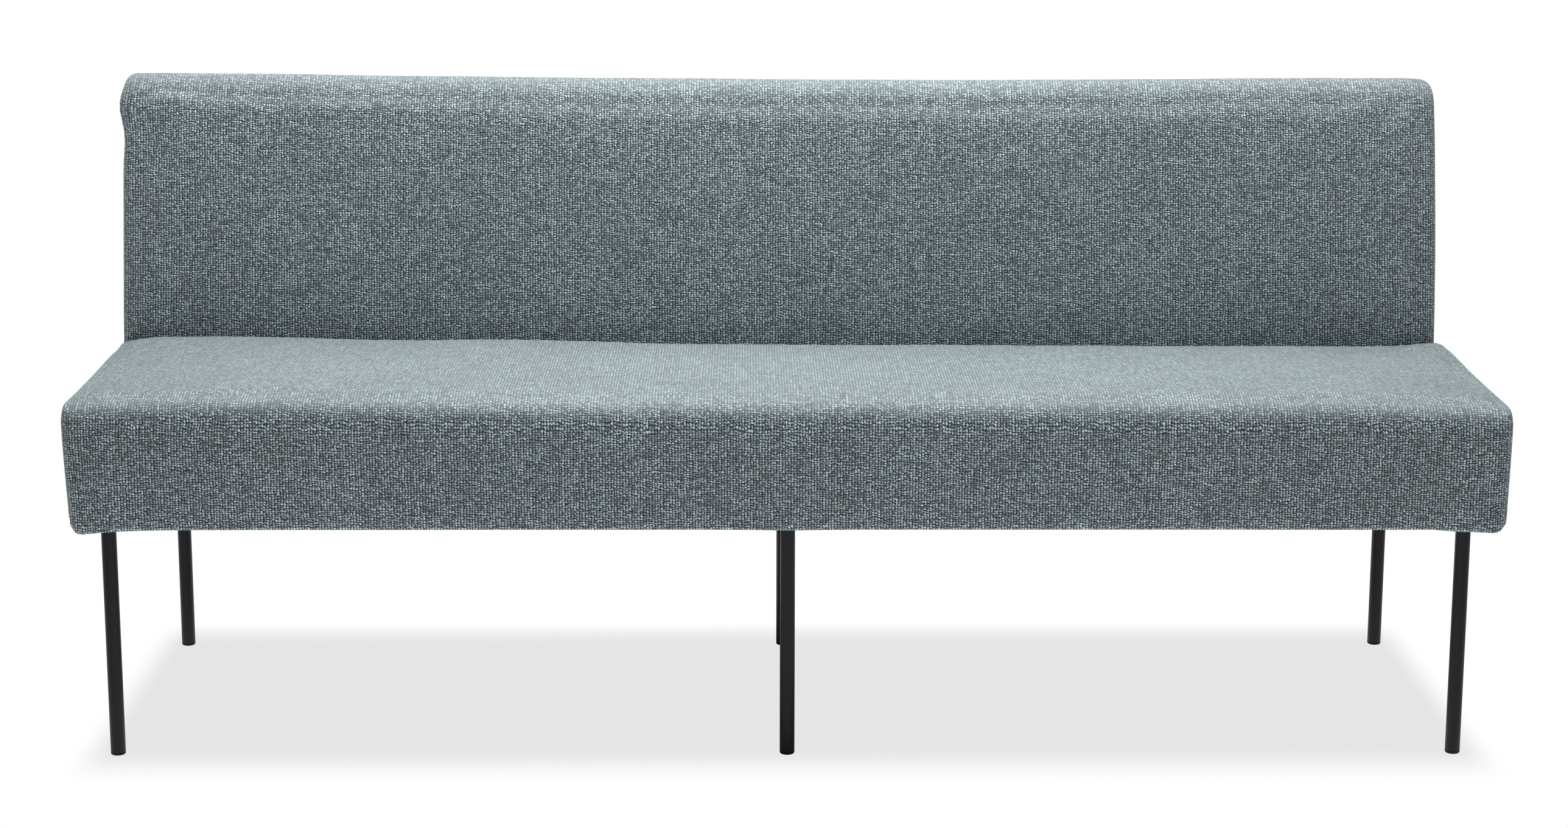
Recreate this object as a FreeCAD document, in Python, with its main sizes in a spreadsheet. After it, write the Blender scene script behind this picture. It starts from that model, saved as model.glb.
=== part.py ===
"""Upholstered dining bench with a reclined back on six steel tube legs, in millimetres.

X runs along the bench, -Y is the front, Z is up. The origin is on the floor under the middle of the
bench. The base with its seat and the back are two upholstered timber units that bolt together.
"""
import FreeCAD, Part
import math
import os
import Sketcher

SIZES = (
    # overall
    ("bench_length", "1900", "overall length over the end covers"),
    ("bench_depth", "620", "overall depth, seat front to the rear of the back"),
    ("bench_height", "860", "floor to the top of the back"),
    ("seat_height", "486", "floor to the crown of the seat"),
    ("back_depth", "155", "face of the back at seat height to its rear"),
    ("back_top_radius", "45", "roll of the top of the back"),
    ("underside_height", "320", "floor to the underside of the base"),
    # covers and their soft shape
    ("cover_thickness", "2", "upholstery fabric with its fleece"),
    ("seam_clearance", "0.3", "room between the seat cover and the back cover"),
    ("seat_crown", "6", "rise of the seat's middle over its front edge"),
    ("seat_draw", "3", "how far the seat's front is drawn in half way along"),
    ("seat_edge_radius", "24", "round of the seat's front upper edge"),
    ("crease_radius", "20", "round of the seat's rear upper edge"),
    ("corner_radius", "18", "round of the seat's ends"),
    ("back_corner_radius", "16", "round of the ends of the back"),
    ("hem_radius", "8", "round of the lower edges"),
    ("seat_hem", "95", "fabric turned under the base"),
    ("back_hem", "30", "fabric turned under the back"),
    ("dust_cover_thickness", "0.8", "nonwoven cloth under the base"),
    ("dust_cover_lap", "12", "dust cover over the hem"),
    # base frame
    ("pad_thickness", "10", "thin foam between frame and cover, front, ends and rear"),
    ("rail_thickness", "25", "rails of the base"),
    ("rail_height", "88", "front and end rails of the base"),
    ("cross_rail_drop", "30", "top of the cross rails below the webbing"),
    ("deck_thickness", "22", "plank that carries the back"),
    ("deck_depth", "198", "plank that carries the back, front to rear"),
    ("leg_block_length", "90", "glued block behind a leg, along the bench"),
    ("leg_block_depth", "60", "glued block behind a leg, front to rear"),
    ("leg_block_height", "50", "glued block behind a leg"),
    # springing
    ("strap_width", "60", "webbing strap"),
    ("strap_thickness", "1.5", "webbing strap"),
    ("strap_lap", "20", "webbing on the rail that holds it"),
    ("cross_strap_count", "12", "straps front to rear"),
    ("long_strap_count", "3", "straps along the bench"),
    ("felt_thickness", "4", "felt pad on the webbing"),
    # back frame
    ("back_foam_thickness", "35", "foam on the face of the back"),
    ("back_top_foam", "28", "foam on the top rail"),
    ("back_rear_pad", "5", "thin foam on the rear panel"),
    ("back_rear_pad_top", "60", "top of the rear pad below the top of the back"),
    ("panel_thickness", "3", "hardboard front and rear panels"),
    ("rib_thickness", "22", "ribs of the back"),
    ("back_plank_thickness", "22", "base plank of the back"),
    ("top_rail_height", "22", "top rail of the back"),
    # bolts between back and base
    ("bolt_diameter", "8", "bolt shank"),
    ("bolt_clearance", "1", "bolt hole over the shank"),
    ("bolt_head_width", "13", "across the flats"),
    ("bolt_head_height", "5.3", "hexagon head"),
    ("bolt_row_front", "105", "front bolt row from the rear of the bench"),
    ("bolt_row_rear", "52", "rear bolt row from the rear of the bench"),
    ("washer_diameter", "24", "under the bolt head"),
    ("washer_thickness", "2", "under the bolt head"),
    ("tee_nut_flange", "20", "tee nut flange"),
    ("tee_nut_flange_thickness", "1.5", "tee nut flange"),
    ("tee_nut_barrel", "10", "tee nut barrel, outside"),
    ("tee_nut_depth", "12", "tee nut barrel, length"),
    # legs
    ("leg_diameter", "20", "leg tube, outside"),
    ("leg_wall", "1.5", "leg tube wall"),
    ("leg_end_inset", "50", "leg axis from the end of the bench"),
    ("leg_front_inset", "45", "front leg axis from the front of the bench"),
    ("leg_rear_inset", "48", "rear leg axis from the rear of the bench"),
    ("plate_size", "50", "square leg plate"),
    ("plate_thickness", "3", "square leg plate"),
    ("plate_corner_radius", "6", "square leg plate"),
    ("plate_hole_spacing", "34", "screw holes of the leg plate"),
    ("screw_shank", "4.5", "leg screw shank"),
    ("screw_clearance", "0.7", "plate hole over the shank"),
    ("screw_length", "30", "leg screw under its head"),
    ("screw_tip", "6", "leg screw point"),
    ("screw_head_diameter", "9", "leg screw pan head"),
    ("screw_head_height", "2.6", "leg screw pan head"),
    ("glide_height", "4", "part of the glide below the tube"),
    ("glide_edge_radius", "2.4", "lower edge of the glide"),
    ("glide_groove", "0.6", "shadow groove between glide and tube"),
    ("glide_spigot", "18", "part of the glide inside the tube"),
    ("glide_barb", "0.5", "depth of the barbs on the spigot"),
    ("glide_barb_count", "3", "barbs on the spigot"),
)

# What follows from the sizes: the back's face runs from seat height into the roll of its top
WORKED_OUT = (
    ("roll_ahead", "=back_depth - back_top_radius", "axis of the roll behind the face at seat height"),
    ("roll_above", "=bench_height - back_top_radius - seat_height", "axis of the roll above the seat"),
    ("roll_reach", "=sqrt(roll_ahead^2 + roll_above^2)", "face at seat height to the axis of the roll"),
    ("back_recline", "=atan(roll_ahead / roll_above) - asin(back_top_radius / roll_reach)",
     "lean of the back's face from upright"),
)

doc = FreeCAD.newDocument("dining_bench")
sheet = doc.addObject("Spreadsheet::Sheet", "sizes")
for row, (alias, number, note) in enumerate(SIZES + WORKED_OUT, 1):
    sheet.set(f"A{row}", note)
    sheet.set(f"B{row}", number)
    sheet.setAlias(f"B{row}", alias)
doc.recompute()

# Edges nearer than this lie in one plane
TOUCH = 0.5

# Bays between the ribs of the back
BACK_BAYS = 4

# The pieces that are written out, by label
pieces = {}

# Places that several pieces share, as expressions on the sheet
END = "(sizes.bench_length / 2)"
FRONT = "(-sizes.bench_depth / 2)"
REAR = "(sizes.bench_depth / 2)"
COVER = "sizes.cover_thickness"
FRAME_END = f"({END} - {COVER} - sizes.pad_thickness)"
FRAME_FRONT = f"({FRONT} + {COVER} + sizes.pad_thickness)"
FRAME_REAR = f"({REAR} - {COVER} - sizes.pad_thickness)"
RAIL_END = f"({FRAME_END} - sizes.rail_thickness)"
RAIL_FRONT = f"({FRAME_FRONT} + sizes.rail_thickness)"
RAIL_REAR = f"({FRAME_REAR} - sizes.rail_thickness)"
FRAME_BOTTOM = f"(sizes.underside_height + {COVER})"
FRAME_TOP = f"({FRAME_BOTTOM} + sizes.rail_height)"
DECK_FRONT = f"({FRAME_REAR} - sizes.deck_depth)"
DECK_BOTTOM = f"({FRAME_TOP} - sizes.deck_thickness)"
DECK_COVER_TOP = f"({FRAME_TOP} + {COVER})"
CROSS_RAIL_TOP = f"({FRAME_TOP} - sizes.cross_rail_drop)"
FELT_BOTTOM = f"({FRAME_TOP} + 2 * sizes.strap_thickness)"
FELT_TOP = f"({FELT_BOTTOM} + sizes.felt_thickness)"
CREASE = f"({REAR} - sizes.back_depth)"
LEAN = "tan(sizes.back_recline)"
UPRIGHT = "cos(sizes.back_recline)"
BACK_FRAME_BOTTOM = f"({DECK_COVER_TOP} + {COVER})"
BACK_PLANK_TOP = f"({BACK_FRAME_BOTTOM} + sizes.back_plank_thickness)"
BACK_FRAME_TOP = f"(sizes.bench_height - {COVER} - sizes.back_top_foam)"
BACK_RIB_TOP = f"({BACK_FRAME_TOP} - sizes.top_rail_height)"
BACK_PANEL_REAR = f"({REAR} - {COVER} - sizes.back_rear_pad)"
BACK_FRAME_REAR = f"({BACK_PANEL_REAR} - sizes.panel_thickness)"
PANEL_DEPTH = f"({COVER} + sizes.back_foam_thickness)"
RIB_DEPTH = f"({PANEL_DEPTH} + sizes.panel_thickness)"
RIB_END = f"({FRAME_END} - sizes.rib_thickness / 2)"
PLATE_TOP = "sizes.underside_height"
PLATE_BOTTOM = f"({PLATE_TOP} - sizes.plate_thickness)"
LEG_X = f"({END} - sizes.leg_end_inset)"
LEG_FRONT_Y = f"({FRONT} + sizes.leg_front_inset)"
LEG_REAR_Y = f"({REAR} - sizes.leg_rear_inset)"
BOLT_ROWS = (f"({REAR} - sizes.bolt_row_front)", f"({REAR} - sizes.bolt_row_rear)")


def value(expression):
    """The number that an expression on the sheet has now."""
    return float(sheet.evalExpression(str(expression)))


def back_face(height, depth="0"):
    """Y of the leaning face of the back at a height, or of a plane that deep behind it."""
    return f"({CREASE} + ({height} - sizes.seat_height) * {LEAN} + ({depth}) / {UPRIGHT})"


def keep(label, piece):
    """Name a finished piece, so that it is written out."""
    piece.Label = label
    pieces[label] = piece
    return piece


def block(name, x, y, z):
    """A straight block between pairs of expressions."""
    solid = doc.addObject("Part::Box", name)
    for side, axis, (low, high) in (("Length", "x", x), ("Width", "y", y), ("Height", "z", z)):
        solid.setExpression(side, f"({high}) - ({low})")
        solid.setExpression(f"Placement.Base.{axis}", low)
    return solid


def cut(name, base, tool):
    """One solid less another."""
    result = doc.addObject("Part::Cut", name)
    result.Base = base
    result.Tool = tool
    return result


def common(name, base, tool):
    """What two solids share."""
    result = doc.addObject("Part::Common", name)
    result.Base = base
    result.Tool = tool
    return result


def group(name, solids):
    """Separate solids as one object."""
    result = doc.addObject("Part::Feature", name)
    result.Shape = Part.makeCompound(solids)
    return result


def sketch_on(body, name, role, offset="0"):
    """A sketch on one of a body's own origin planes, or a stated distance off it."""
    sketch = body.newObject("Sketcher::SketchObject", name)
    plane = next(part for part in body.Origin.OriginFeatures if part.Role == role)
    sketch.AttachmentSupport = [(plane, "")]
    sketch.MapMode = "FlatFace"
    sketch.setExpression("AttachmentOffset.Base.z", offset)
    return sketch


def bind(sketch, constraint, expression):
    """Add a constraint whose value follows the sheet."""
    number = sketch.addConstraint(constraint)
    sketch.setExpression(f"Constraints[{number}]", expression)


def outline(sketch, corners, radii=None):
    """A closed outline, anticlockwise, through corners given as pairs of expressions.

    radii gives the sides that are arcs, by the number of the corner that they start from.
    """
    radii = radii or {}
    points = [FreeCAD.Vector(value(across), value(up), 0) for across, up in corners]
    for side, start in enumerate(points):
        end = points[(side + 1) % len(points)]
        if side in radii:
            chord = end - start
            outward = FreeCAD.Vector(chord.y, -chord.x, 0).normalize()
            radius = value(radii[side])
            half = chord.Length / 2
            rise = radius - math.sqrt(radius**2 - half**2)
            sketch.addGeometry(Part.Arc(start, (start + end) / 2 + outward * rise, end))
        else:
            sketch.addGeometry(Part.LineSegment(start, end))
    for side in range(len(points)):
        after = (side + 1) % len(points)
        sketch.addConstraint(Sketcher.Constraint("Coincident", side, 2, after, 1))
    for side, (across, up) in enumerate(corners):
        for kind, axis, expression in (("DistanceX", -2, across), ("DistanceY", -1, up)):
            if expression == "0":
                sketch.addConstraint(Sketcher.Constraint("PointOnObject", side, 1, axis))
            else:
                bind(sketch, Sketcher.Constraint(kind, side, 1, value(expression)), expression)
    for side, radius in radii.items():
        bind(sketch, Sketcher.Constraint("Radius", side, value(radius)), radius)


def edges_of(feature, wanted):
    """Names of a feature's edges that pass a test on their bounding box."""
    return [f"Edge{i}" for i, edge in enumerate(feature.Shape.Edges, 1) if wanted(edge.BoundBox)]


def rounded(body, name, wanted, radius):
    """Round the edges of a body's last feature that pass a test."""
    doc.recompute()
    last = body.Tip
    fillet = body.newObject("PartDesign::Fillet", name)
    fillet.Base = (last, edges_of(last, wanted))
    fillet.setExpression("Radius", radius)
    doc.recompute()


def is_long(box):
    """Whether an edge runs the length of the bench."""
    return box.XLength > value(END)


def is_at_end(box):
    """Whether an edge lies in a plane across the bench."""
    return box.XLength < TOUCH


def padded(name, corners, length, radii=None, centre="0"):
    """A body with one outline seen from the end, as long as stated, about a place along the bench."""
    body = doc.addObject("PartDesign::Body", name)
    body.setExpression("Placement.Base.x", centre)
    sketch = sketch_on(body, f"{name}_outline", "YZ_Plane")
    outline(sketch, corners, radii)
    pad = body.newObject("PartDesign::Pad", f"{name}_pad")
    pad.Profile = sketch
    pad.SideType = "Symmetric"
    pad.setExpression("Length", length)
    return body


def seat_form(name, inset):
    """The soft outside of the base and seat, or the same form a stated depth inside it."""
    bottom = f"(sizes.underside_height + {inset})"
    deck = f"({DECK_COVER_TOP} - {inset})"
    edge = f"(sizes.seat_height - sizes.seat_crown - {inset})"
    gap = f"(sizes.seam_clearance + {inset})"
    front = f"({FRONT} + {inset})"
    rear = f"({REAR} - {inset})"
    end = f"({END} - {inset})"
    rear_top = back_face(edge, f"-{gap}")
    corners = [
        (front, bottom),
        (rear, bottom),
        (rear, deck),
        (back_face(deck, f"-{gap}"), deck),
        (rear_top, edge),
        (front, edge),
    ]
    half_seat = f"(({rear_top} - {front}) / 2)"
    crown_radius = f"{half_seat}^2 / (2 * sizes.seat_crown) + sizes.seat_crown / 2"
    body = padded(name, corners, f"2 * {end}", {4: crown_radius})

    # The front is drawn in along a flat arc between its corners
    draw = sketch_on(body, f"{name}_draw", "XY_Plane")
    draw_radius = f"{end}^2 / (2 * sizes.seat_draw) + sizes.seat_draw / 2"
    outline(draw, [(end, front), (f"-{end}", front)], {0: draw_radius})
    pocket = body.newObject("PartDesign::Pocket", f"{name}_drawn")
    pocket.Profile = draw
    pocket.Type = "ThroughAll"
    pocket.SideType = "Symmetric"

    low = value(bottom) + TOUCH
    high = value(edge) - TOUCH
    rounded(body, f"{name}_front_edge", lambda box: is_long(box) and box.ZMin > high and box.YMax < 0,
            f"sizes.seat_edge_radius - {inset}")
    rounded(body, f"{name}_crease", lambda box: is_long(box) and box.ZMin > high and box.YMin > 0,
            f"sizes.crease_radius - {inset}")
    rounded(body, f"{name}_ends", lambda box: is_at_end(box) and box.ZMax > low,
            f"sizes.corner_radius - {inset}")
    rounded(body, f"{name}_hem", lambda box: box.ZMax < low, f"sizes.hem_radius - {inset}")
    return body


def back_form(name, inset):
    """The soft outside of the back, a leaning face rolled over the top, or a form inside it."""
    radius = f"(sizes.back_top_radius - {inset})"
    roll_y = f"({REAR} - sizes.back_top_radius)"
    roll_z = "(sizes.bench_height - sizes.back_top_radius)"
    bottom = f"({DECK_COVER_TOP} + {inset})"
    rear = f"({REAR} - {inset})"
    corners = [
        (back_face(bottom, inset), bottom),
        (rear, bottom),
        (rear, roll_z),
        (f"{roll_y} - {radius} * {UPRIGHT}", f"{roll_z} + {radius} * sin(sizes.back_recline)"),
    ]
    body = padded(name, corners, f"sizes.bench_length - 2 * {inset}", {2: radius})
    low = value(bottom) + TOUCH
    rounded(body, f"{name}_ends", lambda box: is_at_end(box) and box.ZMax > low,
            f"sizes.back_corner_radius - {inset}")
    rounded(body, f"{name}_hem", lambda box: box.ZMax < low, f"sizes.hem_radius - {inset}")
    return body


def leg_places():
    """Name and place of each leg: left, middle and right, at the front and at the rear."""
    for row, y in (("front", LEG_FRONT_Y), ("rear", LEG_REAR_Y)):
        for side, x in (("left", f"-{LEG_X}"), ("middle", "0"), ("right", LEG_X)):
            yield f"{row}_{side}", x, y


def screw_points():
    """Centres of the four screws of every leg plate, on the underside of the cover."""
    half = value("sizes.plate_hole_spacing / 2")
    for _, x, y in leg_places():
        for across in (-half, half):
            for along in (-half, half):
                yield FreeCAD.Vector(value(x) + across, value(y) + along, value(PLATE_TOP))


def bolt_points():
    """Centres of the bolts, two in the middle of each bay between the ribs, on top of the deck."""
    outer = value(RIB_END)
    bay = 2 * outer / BACK_BAYS
    for number in range(BACK_BAYS):
        for row in BOLT_ROWS:
            yield FreeCAD.Vector((number + 0.5) * bay - outer, value(row), value(FRAME_TOP))


def turned(points):
    """A solid of revolution about Z from a half outline of (radius, height) points."""
    wire = Part.makePolygon([FreeCAD.Vector(r, 0, z) for r, z in points + points[:1]])
    return Part.Face(wire).revolve(FreeCAD.Vector(0, 0, 0), FreeCAD.Vector(0, 0, 1), 360)


def at_points(solid, points):
    """Copies of a solid at each point."""
    return [solid.translated(point) for point in points]


# Where the screws and bolts pass through timber and fabric
shank_radius = value("sizes.screw_shank / 2")
shank_depth = value("sizes.screw_length")
pilot = Part.makeCylinder(shank_radius, shank_depth)
screw_holes = group("screw_holes", at_points(pilot, screw_points()))

bolt_hole_radius = value("(sizes.bolt_diameter + sizes.bolt_clearance) / 2")
bolt_reach = value(f"{BACK_PLANK_TOP} - {FRAME_TOP}")
hole_down = value("sizes.deck_thickness")
bolt_hole = Part.makeCylinder(bolt_hole_radius, bolt_reach + hole_down, FreeCAD.Vector(0, 0, -hole_down))
bolt_holes = group("bolt_holes", at_points(bolt_hole, bolt_points()))


def base_frame():
    """Rails, deck and leg blocks of the base."""
    whole = (f"-{FRAME_END}", FRAME_END)
    between = (f"-{RAIL_END}", RAIL_END)
    tall = (FRAME_BOTTOM, FRAME_TOP)
    under_deck = (FRAME_BOTTOM, DECK_BOTTOM)
    front = block("front_rail_stock", whole, (FRAME_FRONT, RAIL_FRONT), tall)
    keep("base_front_rail", cut("base_front_rail", front, screw_holes))
    rear = block("rear_rail_stock", between, (RAIL_REAR, FRAME_REAR), under_deck)
    keep("base_rear_rail", cut("base_rear_rail", rear, screw_holes))
    for side, x in (("left", (f"-{FRAME_END}", f"-{RAIL_END}")), ("right", (RAIL_END, FRAME_END))):
        rail = block(f"{side}_rail_stock", x, (RAIL_FRONT, FRAME_REAR), tall)
        keep(f"base_{side}_end_rail", cut(f"base_{side}_end_rail", rail, screw_holes))
    mid_rear = f"{DECK_FRONT} + sizes.rail_thickness"
    keep("base_mid_rail", block("base_mid_rail", between, (DECK_FRONT, mid_rear), under_deck))
    deck = block("deck_stock", between, (DECK_FRONT, FRAME_REAR), (DECK_BOTTOM, FRAME_TOP))
    keep("base_rear_deck", cut("base_rear_deck", deck, bolt_holes))

    half = "sizes.rail_thickness / 2"
    behind_block = f"{RAIL_FRONT} + sizes.leg_block_depth"
    for place, x, y in (
        ("left", f"-{RAIL_END} / 2", RAIL_FRONT),
        ("centre", "0", behind_block),
        ("right", f"{RAIL_END} / 2", RAIL_FRONT),
    ):
        name = f"base_{place}_cross_rail"
        ends = (f"{x} - {half}", f"{x} + {half}")
        keep(name, block(name, ends, (y, DECK_FRONT), (FRAME_BOTTOM, CROSS_RAIL_TOP)))

    long = "sizes.leg_block_length"
    columns = (
        (f"-{RAIL_END}", f"-{RAIL_END} + {long}"),
        (f"-{long} / 2", f"{long} / 2"),
        (f"{RAIL_END} - {long}", RAIL_END),
    )
    rows = (
        (RAIL_FRONT, f"{RAIL_FRONT} + sizes.leg_block_depth"),
        (f"{RAIL_REAR} - sizes.leg_block_depth", RAIL_REAR),
    )
    height = (FRAME_BOTTOM, f"{FRAME_BOTTOM} + sizes.leg_block_height")
    blocks = doc.addObject("Part::Compound", "leg_block_stock")
    blocks.Links = [block("leg_block", x, y, height) for y in rows for x in columns]
    keep("base_leg_blocks", cut("base_leg_blocks", blocks, screw_holes))


def webbing():
    """Straps over the seat opening, the long ones woven over and under the cross ones."""
    inside = value(RAIL_END)
    front = value(RAIL_FRONT)
    rear = value(DECK_FRONT)
    top = value(FRAME_TOP)
    width = value("sizes.strap_width")
    thick = value("sizes.strap_thickness")
    lap = value("sizes.strap_lap")
    cross_count = int(value("sizes.cross_strap_count"))
    long_count = int(value("sizes.long_strap_count"))
    pitch = 2 * inside / cross_count
    centres = [-inside + (number + 0.5) * pitch for number in range(cross_count)]
    straps = []
    for centre in centres:
        corner = FreeCAD.Vector(centre - width / 2, front - lap, top)
        straps.append(Part.makeBox(width, rear - front + 2 * lap, thick, corner))
    keep("seat_cross_webbing", group("seat_cross_webbing", straps))

    straps = []
    # A long strap changes level in the middle half of the gap between two cross straps
    bend = (pitch - width) / 4
    for row in range(long_count):
        line = [(-inside - lap, 0), (-inside, 0)]
        for number, centre in enumerate(centres):
            level = thick if (number + row) % 2 else -thick
            line.append((centre - width / 2 - bend, level))
            line.append((centre + width / 2 + bend, level))
        line += [(inside, 0), (inside + lap, 0)]
        upper = [(x, level + thick) for x, level in reversed(line)]
        across = front + (row + 0.5) * (rear - front) / long_count - width / 2
        points = [FreeCAD.Vector(x, across, top + level) for x, level in line + upper + line[:1]]
        face = Part.Face(Part.makePolygon(points))
        straps.append(face.extrude(FreeCAD.Vector(0, width, 0)))
    keep("seat_long_webbing", group("seat_long_webbing", straps))


def seat():
    """Felt, foam, edge pads and covers of the base and seat."""
    outer = seat_form("seat_outer", "0")
    inner = seat_form("seat_inner", COVER)
    whole = (f"-{END}", END)
    whole_frame = (f"-{FRAME_END}", FRAME_END)
    below_foam = ("sizes.underside_height", FELT_TOP)
    felt_rear = back_face(DECK_COVER_TOP, f"-(sizes.seam_clearance + {COVER})")
    felt_z = (FELT_BOTTOM, FELT_TOP)
    keep("seat_felt", block("seat_felt", whole_frame, (FRAME_FRONT, felt_rear), felt_z))
    above = block("seat_foam_room", whole, (FRONT, REAR), (FELT_TOP, "sizes.seat_height"))
    keep("seat_foam", common("seat_foam", inner, above))
    for side, x, y in (
        ("front", whole, (FRONT, FRAME_FRONT)),
        ("rear", whole, (FRAME_REAR, REAR)),
        ("left", (f"-{END}", f"-{FRAME_END}"), (FRAME_FRONT, FRAME_REAR)),
        ("right", (FRAME_END, END), (FRAME_FRONT, FRAME_REAR)),
    ):
        room = block(f"base_{side}_pad_room", x, y, below_foam)
        keep(f"base_{side}_pad", common(f"base_{side}_pad", inner, room))

    hem = "sizes.seat_hem"
    open_x = (f"-{END} + {hem}", f"{END} - {hem}")
    open_y = (f"{FRONT} + {hem}", f"{REAR} - {hem}")
    opening = block("seat_cover_opening", open_x, open_y, (PLATE_BOTTOM, FRAME_TOP))
    shell = cut("seat_cover_shell", outer, inner)
    bag = cut("seat_cover_bag", shell, opening)
    pierced = cut("seat_cover_pierced", bag, screw_holes)
    keep("seat_cover", cut("seat_cover", pierced, bolt_holes))

    edge = f"({hem} - sizes.dust_cover_lap)"
    dust_x = (f"-{END} + {edge}", f"{END} - {edge}")
    dust_y = (f"{FRONT} + {edge}", f"{REAR} - {edge}")
    dust_z = ("sizes.underside_height - sizes.dust_cover_thickness", "sizes.underside_height")
    keep("dust_cover", block("dust_cover", dust_x, dust_y, dust_z))


def back_frame():
    """Plank, tapered ribs, top rail and panels of the back."""
    whole = (f"-{FRAME_END}", FRAME_END)
    length = f"2 * {FRAME_END}"
    plank_front = back_face(BACK_PLANK_TOP, RIB_DEPTH)
    plank = block("plank_stock", whole, (plank_front, BACK_FRAME_REAR), (BACK_FRAME_BOTTOM, BACK_PLANK_TOP))
    barrel_depth = value("sizes.tee_nut_depth")
    barrel = Part.makeCylinder(value("sizes.tee_nut_barrel / 2"), barrel_depth)
    barrel.translate(FreeCAD.Vector(0, 0, bolt_reach - barrel_depth))
    barrels = group("tee_nut_bores", at_points(barrel, bolt_points()))
    drilled = cut("plank_drilled", plank, bolt_holes)
    keep("back_base_plank", cut("back_base_plank", drilled, barrels))

    rib = [
        (back_face(BACK_PLANK_TOP, RIB_DEPTH), BACK_PLANK_TOP),
        (BACK_FRAME_REAR, BACK_PLANK_TOP),
        (BACK_FRAME_REAR, BACK_RIB_TOP),
        (back_face(BACK_RIB_TOP, RIB_DEPTH), BACK_RIB_TOP),
    ]
    for name, place in (
        ("back_left_rib", f"-{RIB_END}"),
        ("back_mid_left_rib", f"-{RIB_END} / 2"),
        ("back_centre_rib", "0"),
        ("back_mid_right_rib", f"{RIB_END} / 2"),
        ("back_right_rib", RIB_END),
    ):
        keep(name, padded(name, rib, "sizes.rib_thickness", centre=place))

    rail_front = back_face(BACK_FRAME_TOP, RIB_DEPTH)
    rail_z = (BACK_RIB_TOP, BACK_FRAME_TOP)
    keep("back_top_rail", block("back_top_rail", whole, (rail_front, BACK_FRAME_REAR), rail_z))
    front_panel = [
        (back_face(BACK_FRAME_BOTTOM, PANEL_DEPTH), BACK_FRAME_BOTTOM),
        (back_face(BACK_FRAME_BOTTOM, RIB_DEPTH), BACK_FRAME_BOTTOM),
        (back_face(BACK_FRAME_TOP, RIB_DEPTH), BACK_FRAME_TOP),
        (back_face(BACK_FRAME_TOP, PANEL_DEPTH), BACK_FRAME_TOP),
    ]
    keep("back_front_panel", padded("back_front_panel", front_panel, length))
    panel_y = (BACK_FRAME_REAR, BACK_PANEL_REAR)
    panel_z = (BACK_FRAME_BOTTOM, BACK_FRAME_TOP)
    keep("back_rear_panel", block("back_rear_panel", whole, panel_y, panel_z))


def back_upholstery():
    """Foam, pads and cover of the back."""
    outer = back_form("back_outer", "0")
    inner = back_form("back_inner", COVER)
    whole = (f"-{FRAME_END}", FRAME_END)
    everything_y = (FRONT, REAR)
    everything_z = (DECK_COVER_TOP, "sizes.bench_height")
    between = block("back_foam_room", whole, everything_y, everything_z)
    frame = [
        (back_face(BACK_FRAME_BOTTOM, PANEL_DEPTH), BACK_FRAME_BOTTOM),
        (BACK_PANEL_REAR, BACK_FRAME_BOTTOM),
        (BACK_PANEL_REAR, BACK_FRAME_TOP),
        (back_face(BACK_FRAME_TOP, PANEL_DEPTH), BACK_FRAME_TOP),
    ]
    frame_room = padded("back_frame_room", frame, f"2 * {FRAME_END}")
    rear_z = (DECK_COVER_TOP, "sizes.bench_height - sizes.back_rear_pad_top")
    rear_room = block("back_rear_pad_room", whole, (BACK_PANEL_REAR, REAR), rear_z)
    wrap = common("back_foam_wrap", inner, between)
    front = cut("back_foam_front", wrap, frame_room)
    keep("back_foam", cut("back_foam", front, rear_room))
    keep("back_rear_pad", common("back_rear_pad", inner, rear_room))
    for side, x in (("left", (f"-{END}", f"-{FRAME_END}")), ("right", (FRAME_END, END))):
        room = block(f"back_{side}_pad_room", x, everything_y, everything_z)
        keep(f"back_{side}_pad", common(f"back_{side}_pad", inner, room))

    hem = "sizes.back_hem"
    open_x = (f"-{END} + {hem}", f"{END} - {hem}")
    open_y = (f"{back_face(DECK_COVER_TOP)} + {hem}", f"{REAR} - {hem}")
    opening = block("back_cover_opening", open_x, open_y, (FRAME_TOP, BACK_PLANK_TOP))
    shell = cut("back_cover_shell", outer, inner)
    keep("back_cover", cut("back_cover", shell, opening))


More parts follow.
